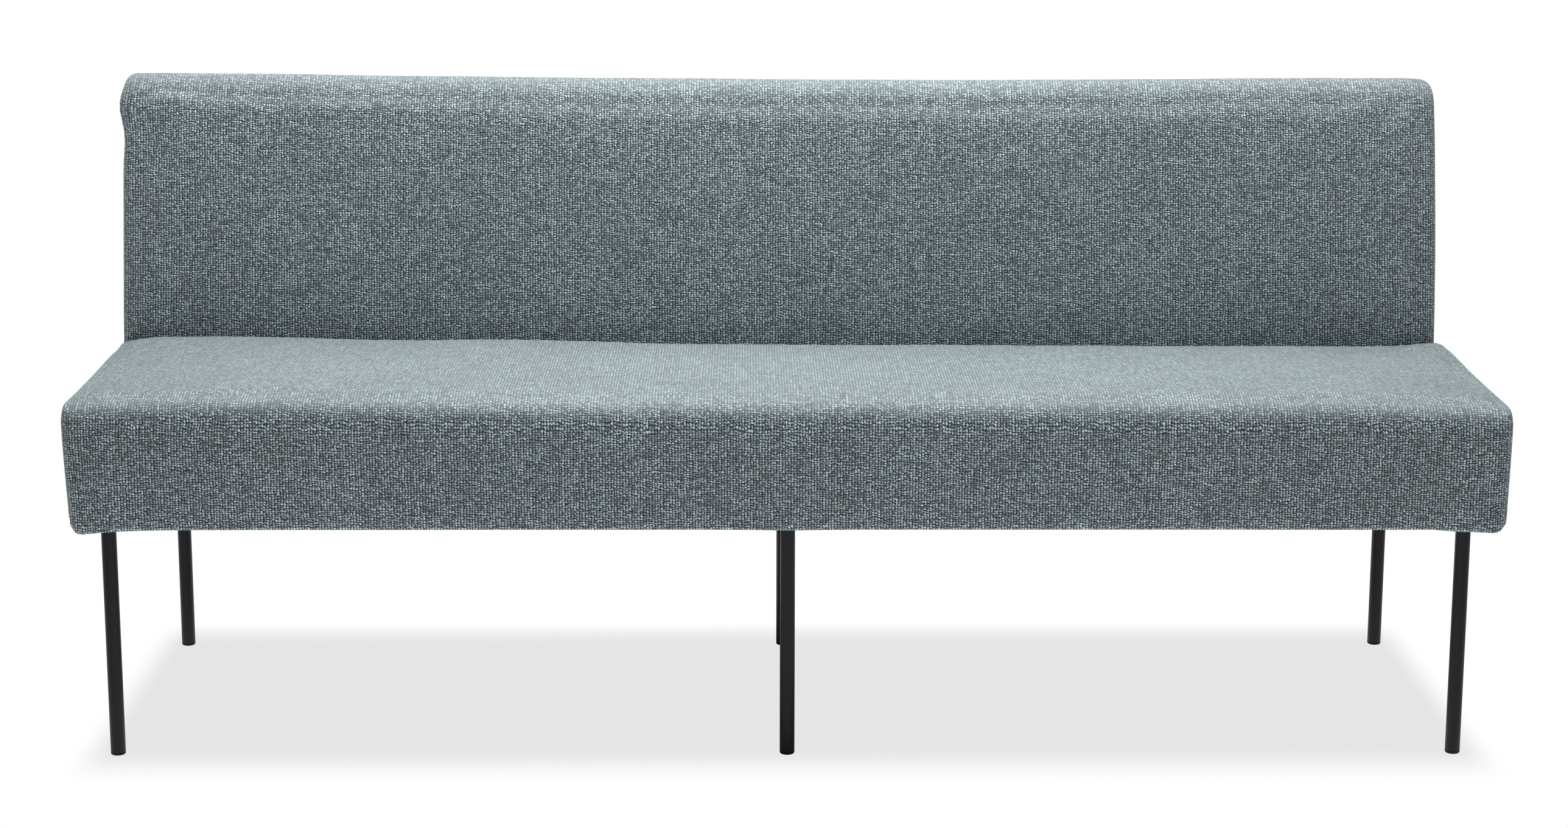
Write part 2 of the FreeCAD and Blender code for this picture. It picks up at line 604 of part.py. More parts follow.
def fasteners():
    """Bolts, washers and tee nuts between back and base, and the screws of the leg plates."""
    down = -hole_down
    washer = value("sizes.washer_thickness")
    shank = value("sizes.bolt_diameter / 2")
    flange = value("sizes.tee_nut_flange_thickness")
    head = value("sizes.bolt_head_height")
    flats = value("sizes.bolt_head_width")
    corner = flats / math.sqrt(3)
    turns = [math.radians(60 * number) for number in range(7)]
    hexagon = [FreeCAD.Vector(corner * math.cos(turn), corner * math.sin(turn), 0) for turn in turns]
    prism = Part.Face(Part.makePolygon(hexagon)).extrude(FreeCAD.Vector(0, 0, head))
    prism.translate(FreeCAD.Vector(0, 0, down - washer - head))
    length = bolt_reach + flange - down + washer
    bolt = prism.fuse(Part.makeCylinder(shank, length, FreeCAD.Vector(0, 0, down - washer)))
    keep("back_bolts", group("back_bolts", at_points(bolt.removeSplitter(), bolt_points())))

    rim = value("sizes.washer_diameter / 2")
    ring = [(bolt_hole_radius, down - washer), (rim, down - washer), (rim, down), (bolt_hole_radius, down)]
    keep("back_washers", group("back_washers", at_points(turned(ring), bolt_points())))

    barrel = value("sizes.tee_nut_barrel / 2")
    lip = value("sizes.tee_nut_flange / 2")
    low = bolt_reach - value("sizes.tee_nut_depth")
    nut = [
        (shank, low),
        (barrel, low),
        (barrel, bolt_reach),
        (lip, bolt_reach),
        (lip, bolt_reach + flange),
        (shank, bolt_reach + flange),
    ]
    keep("back_tee_nuts", group("back_tee_nuts", at_points(turned(nut), bolt_points())))

    plate = value("sizes.plate_thickness")
    tip = value("sizes.screw_tip")
    pan = value("sizes.screw_head_diameter / 2")
    pan_height = value("sizes.screw_head_height")
    pan_round = pan_height / 2
    under = -plate
    screw = [
        (0, under - pan_height),
        (pan - pan_round, under - pan_height),
        (pan, under - pan_round),
        (pan, under),
        (shank_radius, under),
        (shank_radius, under + shank_depth - tip),
        (0, under + shank_depth),
    ]
    keep("leg_screws", group("leg_screws", at_points(turned(screw), screw_points())))


def circle_sketch(body, name, offset, circles):
    """Circles on a level plane, each an expression for its diameter and its centre."""
    sketch = sketch_on(body, name, "XY_Plane", offset)
    up = FreeCAD.Vector(0, 0, 1)
    for number, (diameter, x, y) in enumerate(circles):
        centre = FreeCAD.Vector(value(x), value(y), 0)
        sketch.addGeometry(Part.Circle(centre, up, value(diameter) / 2))
        bind(sketch, Sketcher.Constraint("Diameter", number, value(diameter)), diameter)
        for kind, axis, place in (("DistanceX", -2, x), ("DistanceY", -1, y)):
            if place == "0":
                sketch.addConstraint(Sketcher.Constraint("PointOnObject", number, 3, axis))
            else:
                bind(sketch, Sketcher.Constraint(kind, number, 3, value(place)), place)
    return sketch


def leg_body(name, x, y):
    """An empty body that stands at a leg's axis."""
    body = doc.addObject("PartDesign::Body", name)
    body.setExpression("Placement.Base.x", x)
    body.setExpression("Placement.Base.y", y)
    return body


def leg_tube(name, x, y):
    """Round steel tube, from its glide up to its plate."""
    body = leg_body(name, x, y)
    bore = "sizes.leg_diameter - 2 * sizes.leg_wall"
    rings = circle_sketch(body, f"{name}_ring", "sizes.glide_height",
                          [("sizes.leg_diameter", "0", "0"), (bore, "0", "0")])
    pad = body.newObject("PartDesign::Pad", f"{name}_pad")
    pad.Profile = rings
    pad.setExpression("Length", f"{PLATE_BOTTOM} - sizes.glide_height")
    keep(name, body)


def leg_plate(name, x, y):
    """Square steel plate with rounded corners and four screw holes, on top of its tube."""
    body = leg_body(name, x, y)
    half = "sizes.plate_size / 2"
    square = sketch_on(body, f"{name}_square", "XY_Plane", PLATE_BOTTOM)
    outline(square, [(f"-{half}", f"-{half}"), (half, f"-{half}"), (half, half), (f"-{half}", half)])
    pad = body.newObject("PartDesign::Pad", f"{name}_pad")
    pad.Profile = square
    pad.setExpression("Length", "sizes.plate_thickness")
    rounded(body, f"{name}_corners", lambda box: box.XLength < TOUCH and box.YLength < TOUCH,
            "sizes.plate_corner_radius")
    place = "sizes.plate_hole_spacing / 2"
    bored = "sizes.screw_shank + sizes.screw_clearance"
    hole = circle_sketch(body, f"{name}_hole", PLATE_TOP, [(bored, place, place)])
    pocket = body.newObject("PartDesign::Pocket", f"{name}_drilled")
    pocket.Profile = hole
    pocket.Type = "ThroughAll"
    around = body.newObject("PartDesign::PolarPattern", f"{name}_holes")
    around.Originals = [pocket]
    around.Axis = (hole, ["N_Axis"])
    around.Angle = 360
    around.Occurrences = 4
    body.Tip = around
    keep(name, body)


def leg_glide(name, x, y):
    """Plastic glide with a barbed spigot pushed into the tube."""
    body = leg_body(name, x, y)
    rim = "sizes.leg_diameter / 2"
    edge = "sizes.glide_edge_radius"
    groove = "sizes.glide_groove"
    head = "sizes.glide_height"
    barb = f"({rim} - sizes.leg_wall)"
    core = f"({barb} - sizes.glide_barb)"
    corners = [
        ("0", "0"),
        (f"{rim} - {edge}", "0"),
        (rim, edge),
        (rim, f"{head} - {groove}"),
        (f"{rim} - {groove}", f"{head} - {groove}"),
        (f"{rim} - {groove}", head),
        (core, head),
    ]
    count = int(value("sizes.glide_barb_count"))
    for number in range(1, count + 1):
        height = f"{head} + sizes.glide_spigot * {number} / {count + 1}"
        corners += [(core, height), (barb, height)]
    corners += [(core, f"{head} + sizes.glide_spigot"), ("0", f"{head} + sizes.glide_spigot")]
    sketch = sketch_on(body, f"{name}_outline", "XZ_Plane")
    outline(sketch, corners, {1: edge})
    turn = body.newObject("PartDesign::Revolution", f"{name}_turned")
    turn.Profile = sketch
    turn.ReferenceAxis = (sketch, ["V_Axis"])
    turn.Angle = 360
    keep(name, body)


def legs():
    """Six legs, each a tube, a plate and a glide."""
    for place, x, y in leg_places():
        leg_tube(f"{place}_leg", x, y)
        leg_plate(f"{place}_leg_plate", x, y)
        leg_glide(f"{place}_leg_glide", x, y)


def check_and_write():
    """Stop on any failed object, then write each piece to its own file."""
    doc.recompute()
    failed = [item.Name for item in doc.Objects if {"Invalid", "Error"} & set(item.State)]
    if failed:
        raise RuntimeError(f"failed objects: {failed}")
    for label, piece in pieces.items():
        if piece.Shape.isNull() or not piece.Shape.isValid() or not piece.Shape.Solids:
            raise RuntimeError(f"{label} has no valid solid")
    os.makedirs("parts", exist_ok=True)
    for label, piece in pieces.items():
        piece.Shape.exportStep(f"parts/{label}.step")


base_frame()
webbing()
seat()
back_frame()
back_upholstery()
fasteners()
legs()
check_and_write()
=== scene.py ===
"""Looks of an upholstered dining bench with a back, on six steel tube legs.

Everything is in metres, in the frame of the CAD model: X along the bench, -Y the front, Z up. The two
upholstered units are skinned over lattices, drawn on to their rounded outlines, given the small
unevenness of hand-pulled fabric and left to swell in a short cloth simulation.
"""

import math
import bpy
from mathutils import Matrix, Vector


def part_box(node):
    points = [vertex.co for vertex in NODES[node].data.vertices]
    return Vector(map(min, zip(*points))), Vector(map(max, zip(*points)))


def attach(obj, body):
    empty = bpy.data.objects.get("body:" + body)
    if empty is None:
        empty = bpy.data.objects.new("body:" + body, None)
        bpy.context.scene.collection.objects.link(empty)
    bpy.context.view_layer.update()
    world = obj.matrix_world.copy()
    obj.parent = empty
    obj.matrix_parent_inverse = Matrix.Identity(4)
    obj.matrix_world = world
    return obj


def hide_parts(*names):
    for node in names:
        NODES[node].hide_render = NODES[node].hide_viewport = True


bl_info = {
    "name": "Upholstered dining bench",
    "version": (1, 0, 0),
    "blender": (4, 5, 0),
    "location": "View3D > Sidebar > Bench",
    "description": "Upholsters and finishes a dining bench round its CAD frame",
    "category": "Object",
}

import bmesh
import bpy
import numpy as np
from bpy.props import FloatProperty, FloatVectorProperty, PointerProperty
from mathutils import Matrix, Vector, noise

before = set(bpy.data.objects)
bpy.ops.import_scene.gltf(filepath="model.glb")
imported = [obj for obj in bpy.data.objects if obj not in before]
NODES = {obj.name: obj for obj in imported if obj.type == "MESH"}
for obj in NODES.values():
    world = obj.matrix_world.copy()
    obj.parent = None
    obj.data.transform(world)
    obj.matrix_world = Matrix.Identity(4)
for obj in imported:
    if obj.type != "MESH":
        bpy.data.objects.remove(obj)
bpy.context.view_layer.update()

# Boxes of the CAD pieces that the new pieces are fitted to
SEAT_LOW, SEAT_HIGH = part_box("seat_cover")
BACK_LOW, BACK_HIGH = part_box("back_cover")
DUST_LOW, DUST_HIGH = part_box("dust_cover")
LEGS = [f"{row}_{side}_leg" for row in ("front", "rear") for side in ("left", "middle", "right")]

# The least length that is divided by, and how near to each other two places count as one
TINY = 1e-9
NEAR = 1e-6


def length(name, description, default):
    """A length that a user can change."""
    return FloatProperty(name=name, description=description, default=default, precision=4,
                         subtype="DISTANCE", unit="LENGTH")


def share(name, description, default):
    """A number without a unit that a user can change."""
    return FloatProperty(name=name, description=description, default=default, min=0.0,
                         subtype="UNSIGNED")


def tilt(name, description, default):
    """An angle that a user can change."""
    return FloatProperty(name=name, description=description, default=default, subtype="ANGLE",
                         unit="ROTATION")


def watts(name, description, default):
    """A light's power that a user can change."""
    return FloatProperty(name=name, description=description, default=default, subtype="POWER",
                         unit="POWER")


def colour(name, description, default):
    """A colour that a user can change."""
    return FloatVectorProperty(name=name, description=description, default=default, subtype="COLOR",
                               size=3, min=0.0, max=1.0)


class BenchForm(bpy.types.PropertyGroup):
    """Sizes of the soft forms."""
    seat_crown: length("Seat crown", "Rise of the seat's middle over its edges", 0.006)
    seat_draw: length("Front drawn in", "How far the front is drawn in half way along", 0.003)
    seat_edge_radius: length("Seat front edge", "Round of the seat's front upper edge", 0.032)
    crease_radius: length("Crease", "Round of the seat's rear upper edge", 0.009)
    seat_end_radius: length("Seat ends", "Round of the seat's ends", 0.021)
    seat_shoulder_radius: length("Seat shoulders", "Round of the ends' upper edges", 0.010)
    back_roll_radius: length("Back roll", "Roll of the top of the back", 0.045)
    back_end_radius: length("Back ends", "Round of the ends of the back", 0.017)
    hem_radius: length("Hem", "Round of the lower edges", 0.009)
    deck_edge_radius: length("Deck edge", "Round of the base's rear upper edge", 0.006)
    seam_room: length("Seam room", "Room between the seat and the back", 0.001)
    fine_pitch: length("Fine pitch", "Mesh pitch near the edges", 0.0045)
    wide_pitch: length("Wide pitch", "Mesh pitch on the open faces", 0.015)
    swell: length("Swell", "Most that the fabric may swell in the simulation", 0.0045)
    give: length("Give", "Most that the cover may sink into its foam", 0.001)
    pressure: share("Pressure", "Pressure of the foam on its cover", 4.0)
    unevenness: length("Unevenness", "Depth of the fabric's slow waves", 0.0009)


class BenchFabric(bpy.types.PropertyGroup):
    """Colours and sizes of the upholstery fabric."""
    light_yarn: colour("Light yarn", "Brightest pebbles of the weave", (0.66, 0.775, 0.815))
    middle_yarn: colour("Middle yarn", "Dullest pebbles of the weave", (0.245, 0.291, 0.309))
    # Gap colour in part: the darker yarn between the pebbles, and painted shade that falls in the gaps
    gap_yarn_and_shade: colour("Dark yarn", "Gaps of the weave", (0.031, 0.040, 0.045))
    # Painted light: colour of the weave's gaps on the faces that look up, where light from above fills them
    lit_gap: colour("Lit gap", "Loose fibres in the gaps of the upper faces", (0.30, 0.352, 0.372))
    pebble_width: length("Pebble width", "Pitch of the weave across", 0.0038)
    pebble_height: length("Pebble height", "Pitch of the weave up", 0.0030)
    relief: length("Relief", "Depth of the weave", 0.0006)


class BenchHardware(bpy.types.PropertyGroup):
    """Colours and sizes of the legs and small fittings."""
    leg_paint: colour("Leg paint", "Powder coat of the legs", (0.0055, 0.0055, 0.0088))
    glide_plastic: colour("Glide", "Plastic of the glides", (0.006, 0.006, 0.006))
    weld_size: length("Weld", "Leg of the weld between tube and plate", 0.0034)
    hole_spacing: length("Hole spacing", "Screw holes of a leg plate", 0.034)
    staple_pitch: length("Staple pitch", "Staples along the dust cloth", 0.062)
    staple_inset: length("Staple inset", "Staples from the dust cloth's edge", 0.006)
    dust_sag: length("Dust cloth sag", "Sag of the dust cloth's middle", 0.004)


class BenchStage(bpy.types.PropertyGroup):
    """Camera, floor and light."""
    camera_place: FloatVectorProperty(name="Camera", description="Where the camera stands",
                                      default=(-0.053, -4.192, 1.293), subtype="XYZ", unit="LENGTH")
    camera_pitch: tilt("Pitch", "Camera below the horizon", 0.2071)
    camera_yaw: tilt("Yaw", "Camera turned about the upright", -0.01215)
    camera_roll: tilt("Roll", "Camera turned about its view", 0.0026)
    camera_lens: FloatProperty(name="Lens", description="Focal length", default=69.9,
                               subtype="DISTANCE_CAMERA", unit="CAMERA")
    floor_colour: colour("Floor", "Pale floor", (0.9, 0.9, 0.9))
    floor_shade: share("Floor shade", "How much of the bench's shadow the floor takes", 0.227)
    floor_glow: share("Floor glow", "Light that the floor sends back to the bench", 1.52)
    rear_power: watts("Rear light", "Light above and behind the bench", 28.0)
    top_power: watts("Top light", "Strip of light high above the seat", 68.0)
    front_power: watts("Front light", "Strip of light above the front edge", 9.5)
    floor_power: watts("Floor light", "Light on the floor alone", 260.0)
    ambient: share("Ambient", "Light from all round", 0.01)


# Shader nodes


def add(tree, kind, inputs=None, **settings):
    """A node with its settings and inputs. An input is a value or another node's output."""
    made = tree.nodes.new(kind)
    for name, value in settings.items():
        setattr(made, name, value)
    for name, value in (inputs or {}).items():
        if isinstance(value, bpy.types.NodeSocket):
            tree.links.new(value, made.inputs[name])
        else:
            made.inputs[name].default_value = value
    return made


def calc(tree, operation, first, second=0.0):
    """The output of a math node."""
    return add(tree, "ShaderNodeMath", {0: first, 1: second}, operation=operation).outputs[0]


def weighted(tree, base, *terms):
    """A base plus the sum of (value, weight) terms."""
    total = base
    for value, weight in terms:
        inputs = {0: value, 1: weight, 2: total}
        total = add(tree, "ShaderNodeMath", inputs, operation="MULTIPLY_ADD").outputs[0]
    return total


def ease(tree, value, low, high):
    """0 below low, 1 above high and smooth between them."""
    made = add(tree, "ShaderNodeMapRange", {"Value": value, "From Min": low, "From Max": high},
               interpolation_type="SMOOTHSTEP")
    return made.outputs[0]


def blend(tree, amount, first, second):
    """A colour between two colours."""
    made = add(tree, "ShaderNodeMix", {0: amount, 6: first, 7: second}, data_type="RGBA")
    return made.outputs[2]


def stretched(tree, vector, scale):
    """Coordinates scaled by a different number along each axis."""
    return add(tree, "ShaderNodeMapping", {"Vector": vector, "Scale": scale}).outputs[0]


def grain(tree, vector, scale, detail=2.0, roughness=0.5):
    """A noise texture's value. The scale is one number, or a tuple with one for each axis."""
    if isinstance(scale, tuple):
        vector = stretched(tree, vector, scale)
        scale = 1.0
    inputs = {"Vector": vector, "Scale": scale, "Detail": detail, "Roughness": roughness}
    return add(tree, "ShaderNodeTexNoise", inputs).outputs[0]


def axes_of(tree, vector):
    """The three parts of a vector."""
    return add(tree, "ShaderNodeSeparateXYZ", {0: vector}).outputs


def vector_of(tree, *parts):
    """A vector of up to three parts."""
    return add(tree, "ShaderNodeCombineXYZ", dict(enumerate(parts))).outputs[0]


def object_place(tree):
    """Coordinates on the object, in metres."""
    return tree.nodes.new("ShaderNodeTexCoord").outputs["Object"]


def opaque(rgb, strength=1.0):
    """A colour times a strength, with full alpha."""
    return (*(strength * part for part in rgb), 1.0)


# Node groups: each function gets the group's tree and inputs, and returns its named outputs

# Unevenness of the pebble weave
YARN_WANDER = (0.0022, 0.003, 0.0)
WANDER_SCALE = 75.0
PEBBLE_SLIP = 2.3
COLUMN_LIKENESS = 0.26
YARN_TWIST = 0.3
PEBBLE_JITTER = 0.18
PEBBLE_STEEPNESS = (2.2, 2.25)
RAGGEDNESS = 3.4


def pebble_weave(tree, given):
    """Chunky plain weave: a grid of uneven yarn pebbles with dark gaps."""
    # Yarns wander by a part of a pebble
    flow = given["Flow"]
    wander = add(tree, "ShaderNodeTexNoise", {"Vector": flow, "Scale": WANDER_SCALE, "Detail": 2.0})
    centred = add(tree, "ShaderNodeVectorMath", {0: wander.outputs[1], 1: (0.5, 0.5, 0.5)},
                  operation="SUBTRACT").outputs[0]
    moved = add(tree, "ShaderNodeVectorMath", {0: centred, 1: YARN_WANDER, 2: flow},
                operation="MULTIPLY_ADD").outputs[0]
    place = axes_of(tree, moved)
    across = calc(tree, "DIVIDE", place[0], given["Pebble Width"])
    column = calc(tree, "FLOOR", across)
    # Pebbles follow each other unevenly up each column, and only roughly level with the next column
    spacing = vector_of(tree, calc(tree, "MULTIPLY", column, COLUMN_LIKENESS),
                        calc(tree, "MULTIPLY", place[1], WANDER_SCALE))
    level = calc(tree, "DIVIDE", place[1], given["Pebble Height"])
    up = weighted(tree, level, (grain(tree, spacing, 1.0, 1.0), PEBBLE_SLIP))
    cell = vector_of(tree, column, calc(tree, "FLOOR", up))
    chance = add(tree, "ShaderNodeTexWhiteNoise", {"Vector": cell}, noise_dimensions="2D")
    shift = add(tree, "ShaderNodeSeparateColor", {0: chance.outputs["Color"]}).outputs
    # Each pebble is a dome in its cell, off centre by chance and leaning with the twist of the yarn
    side = calc(tree, "SUBTRACT", calc(tree, "FRACT", across), 0.5)
    rise = calc(tree, "SUBTRACT", calc(tree, "FRACT", up), 0.5)
    leaning = weighted(tree, rise, (side, YARN_TWIST))
    dome = 1.0
    for local, offset, steepness in zip((side, leaning), shift, PEBBLE_STEEPNESS):
        off_centre = weighted(tree, local, (calc(tree, "SUBTRACT", offset, 0.5), PEBBLE_JITTER))
        slope = calc(tree, "ABSOLUTE", calc(tree, "MULTIPLY", off_centre, steepness))
        dome = calc(tree, "SUBTRACT", dome, calc(tree, "POWER", slope, 2.0))
    dome = calc(tree, "POWER", calc(tree, "MAXIMUM", dome, 0.0), 0.8)
    # Slubs: thick and thin stretches along the rows, fewer along the columns
    rows = grain(tree, flow, (22.0, 420.0, 1.0), 2.0, 0.6)
    columns = grain(tree, flow, (250.0, 22.0, 1.0), 2.0, 0.6)
    slub = ease(tree, weighted(tree, 0.0, (rows, 0.65), (columns, 0.35)), 0.3, 0.7)
    fibre = grain(tree, moved, (1500.0, 3600.0, 1.0), 2.0, 0.6)
    tone = weighted(tree, 0.0, (chance.outputs["Value"], 0.50), (slub, 0.32), (fibre, 0.18))
    pebble = calc(tree, "MULTIPLY", dome, weighted(tree, 0.7, (tone, 0.5)))
    # Fibres make the edges of the pebbles ragged and link some of them across the gaps
    ragged = calc(tree, "SUBTRACT", grain(tree, moved, (430.0, 520.0, 1.0), 3.0, 0.7), 0.5)
    yarn = ease(tree, weighted(tree, pebble, (ragged, RAGGEDNESS)), 0.02, 0.86)
    return {"Height": weighted(tree, pebble, (fibre, 0.10)), "Yarn": yarn, "Tone": tone}


def fine_grain(tree, given):
    """Fine grain for paint, plate and moulded plastic, with slow drifts of tone."""
    pitch = calc(tree, "DIVIDE", 1.0, given["Size"])
    return {"Height": grain(tree, given["Vector"], pitch, 2.0, given["Softness"]),
            "Drift": grain(tree, given["Vector"], 22.0, 4.0, 0.6)}


def wood_grain(tree, given):
    """Long wood grain, which runs along the first axis of its vector."""
    slow = grain(tree, given["Vector"], (2.0, 14.0, 14.0), 3.0, 0.5)
    place = axes_of(tree, given["Vector"])
    reach = weighted(tree, place[1], (slow, 0.05), (place[2], 0.4))
    ring = calc(tree, "FRACT", calc(tree, "DIVIDE", reach, given["Ring Pitch"]))
    return {"Ring": ease(tree, ring, 0.1, 1.0),
            "Fibre": grain(tree, given["Vector"], (40.0, 1600.0, 1600.0), 2.0, 0.6)}


# What fills each node group, and its inputs: a vector has no default
NODE_GROUPS = {
    "pebble weave": (pebble_weave, {"Flow": None, "Pebble Width": 0.004, "Pebble Height": 0.003}),
    "fine grain": (fine_grain, {"Vector": None, "Size": 0.0005, "Softness": 0.5}),
    "wood grain": (wood_grain, {"Vector": None, "Ring Pitch": 0.006}),
}


def node_group(name):
    """The node group of this name, built when it is first asked for."""
    if name in bpy.data.node_groups:
        return bpy.data.node_groups[name]
    fill, inputs = NODE_GROUPS[name]
    tree = bpy.data.node_groups.new(name, "ShaderNodeTree")
    for label, value in inputs.items():
        kind = "NodeSocketVector" if value is None else "NodeSocketFloat"
        socket = tree.interface.new_socket(label, in_out="INPUT", socket_type=kind)
        if value is not None:
            socket.default_value = value
    outputs = fill(tree, tree.nodes.new("NodeGroupInput").outputs)
    for label in outputs:
        tree.interface.new_socket(label, in_out="OUTPUT", socket_type="NodeSocketFloat")
    result = tree.nodes.new("NodeGroupOutput").inputs
    for label, value in outputs.items():
        tree.links.new(value, result[label])
    return tree


def use_group(tree, name, inputs):
    """A node group placed in a material. Returns its outputs."""
    return add(tree, "ShaderNodeGroup", inputs, node_tree=node_group(name)).outputs


# Finishes: each function gets a material's tree and its Principled shader, and feeds the shader


def feed(tree, shader, base, roughness, height, depth, constants=None):
    """Feed a shader with a colour, a roughness, a relief and constants."""
    tree.links.new(base, shader.inputs["Base Color"])
    tree.links.new(roughness, shader.inputs["Roughness"])
    bump = add(tree, "ShaderNodeBump", {"Height": height, "Distance": depth, "Strength": 1.0})
    tree.links.new(bump.outputs[0], shader.inputs["Normal"])
    for name, value in (constants or {}).items():
        shader.inputs[name].default_value = value


def fabric_nodes(tree, shader):
    """Chunky blue-grey melange weave, matt, with a soft sheen."""
    fabric = bpy.context.scene.bench_fabric
    place = object_place(tree)
    flow = add(tree, "ShaderNodeAttribute", attribute_name="weave").outputs["Vector"]
    weave = use_group(tree, "pebble weave", {
        "Flow": flow, "Pebble Width": fabric.pebble_width, "Pebble Height": fabric.pebble_height})
    tone = ease(tree, weave["Tone"], 0.22, 0.85)
    yarn = blend(tree, tone, opaque(fabric.middle_yarn), opaque(fabric.light_yarn))
    # Painted light: the gaps of the faces that look up are painted lighter, where light from above fills
    # them, and their relief is flatter
    normal = tree.nodes.new("ShaderNodeNewGeometry").outputs["Normal"]
    upward = ease(tree, axes_of(tree, normal)[2], 0.3, 0.95)
    speckle = ease(tree, grain(tree, place, 700.0, 3.0, 0.7), 0.3, 0.7)
    lit_gap_speckled = blend(tree, speckle, opaque(fabric.lit_gap, 0.6), opaque(fabric.lit_gap, 1.4))
    gap = blend(tree, calc(tree, "MULTIPLY", upward, 0.5), opaque(fabric.gap_yarn_and_shade), lit_gap_speckled)
    flatter = weighted(tree, 1.0, (upward, -0.5))
    mixed = blend(tree, weave["Yarn"], gap, yarn)
    fading = weighted(tree, 0.9, (grain(tree, place, 7.0, 3.0, 0.5), 0.2))
    faded = add(tree, "ShaderNodeHueSaturation", {"Color": mixed, "Value": fading})
    feed(tree, shader, faded.outputs[0], weighted(tree, 1.0, (weave["Yarn"], -0.12)),
         calc(tree, "MULTIPLY", weave["Height"], flatter), fabric.relief,
         {"Specular IOR Level": 0.2, "Sheen Weight": 0.42, "Sheen Roughness": 0.45,
          "Sheen Tint": (0.86, 0.96, 1.0, 1.0)})


def paint_nodes(tree, shader):
    """Fine matt black powder coat."""
    skin = use_group(tree, "fine grain", {"Vector": object_place(tree), "Size": 0.0006, "Softness": 0.5})
    paint = bpy.context.scene.bench_hardware.leg_paint
    dusty = [0.9 * part + 0.003 for part in paint]
    base = blend(tree, ease(tree, skin["Drift"], 0.35, 0.75), opaque(paint), opaque(dusty))
    feed(tree, shader, base, weighted(tree, 0.36, (skin["Drift"], 0.2)), skin["Height"], 0.00004,
         {"Specular IOR Level": 0.2})


def plastic_nodes(tree, shader):
    """Moulded black plastic, scuffed where it slides."""
    place = object_place(tree)
    skin = use_group(tree, "fine grain", {"Vector": place, "Size": 0.0003, "Softness": 0.6})
    low = weighted(tree, 1.0, (ease(tree, axes_of(tree, place)[2], 0.0, 0.002), -1.0))
    scuff = calc(tree, "MULTIPLY", low, ease(tree, skin["Drift"], 0.4, 0.7))
    plastic = bpy.context.scene.bench_hardware.glide_plastic
    base = blend(tree, scuff, opaque(plastic), (0.02, 0.02, 0.02, 1.0))
    feed(tree, shader, base, weighted(tree, 0.5, (scuff, 0.25)), skin["Height"], 0.00003,
         {"Specular IOR Level": 0.15})


def dust_cloth_nodes(tree, shader):
    """Thin black nonwoven cloth with bonded dots."""
    place = object_place(tree)
    dots = add(tree, "ShaderNodeTexVoronoi", {"Vector": stretched(tree, place, (480.0, 480.0, 0.0)),
                                             "Scale": 1.0, "Randomness": 0.15})
    bonded = weighted(tree, 1.0, (ease(tree, dots.outputs["Distance"], 0.16, 0.3), -1.0))
    fibres = grain(tree, place, (900.0, 2600.0, 1.0), 3.0, 0.7)
    loose = blend(tree, fibres, (0.008, 0.008, 0.009, 1.0), (0.045, 0.045, 0.05, 1.0))
    base = blend(tree, bonded, loose, (0.012, 0.012, 0.013, 1.0))
    feed(tree, shader, base, weighted(tree, 0.92, (bonded, -0.3)),
         weighted(tree, 0.0, (fibres, 0.5), (bonded, -1.0)), 0.00012)


def zinc_nodes(tree, shader):
    """Bright zinc plate with a cloudy passivation."""
    skin = use_group(tree, "fine grain", {"Vector": object_place(tree), "Size": 0.0008, "Softness": 0.5})
    base = blend(tree, skin["Drift"], (0.50, 0.52, 0.55, 1.0), (0.70, 0.69, 0.66, 1.0))
    feed(tree, shader, base, weighted(tree, 0.25, (skin["Height"], 0.2)), skin["Height"], 0.00002,
         {"Metallic": 1.0})


def timber_nodes(tree, shader, order, pale, dark, ring_pitch):
    """Planed wood whose grain runs along the first axis of the order."""
    place = axes_of(tree, object_place(tree))
    turned = vector_of(tree, *(place[axis] for axis in order))
    wood = use_group(tree, "wood grain", {"Vector": turned, "Ring Pitch": ring_pitch})
    ringed = blend(tree, calc(tree, "MULTIPLY", wood["Ring"], 0.7), opaque(pale), opaque(dark))
    base = blend(tree, calc(tree, "MULTIPLY", wood["Fibre"], 0.35), ringed, opaque(dark))
    feed(tree, shader, base, weighted(tree, 0.55, (wood["Fibre"], 0.2)), wood["Fibre"], 0.0001)


def fibre_nodes(tree, shader, first, second, scale, depth):
    """Matted fibres of two colours, for felt, hardboard and foam."""
    place = object_place(tree)
    fine = grain(tree, place, scale * 4.0, 3.0, 0.7)
    mixed = weighted(tree, 0.0, (grain(tree, place, scale, 4.0, 0.7), 0.6), (fine, 0.4))
    base = blend(tree, ease(tree, mixed, 0.35, 0.65), opaque(first), opaque(second))
    feed(tree, shader, base, weighted(tree, 0.75, (fine, 0.2)), mixed, depth)


def webbing_nodes(tree, shader, along):
    """Woven elastic strap with dark stripes, which run along the given axis."""
    place = axes_of(tree, object_place(tree))
    across = place[1 - along]
    weave = use_group(tree, "pebble weave", {
        "Flow": vector_of(tree, place[along], across), "Pebble Width": 0.0026, "Pebble Height": 0.0015})
    stripe = ease(tree, calc(tree, "FRACT", calc(tree, "DIVIDE", across, 0.02)), 0.72, 0.78)
    strap = blend(tree, stripe, (0.42, 0.34, 0.22, 1.0), (0.05, 0.045, 0.04, 1.0))
    base = blend(tree, weave["Yarn"], (0.06, 0.05, 0.04, 1.0), strap)
    feed(tree, shader, base, weighted(tree, 0.9, (weave["Yarn"], -0.2)), weave["Height"], 0.0004)


# Pale and dark colour of softwood, and the pitch of its rings
SOFTWOOD = ((0.72, 0.53, 0.33), (0.50, 0.31, 0.16), 0.006)

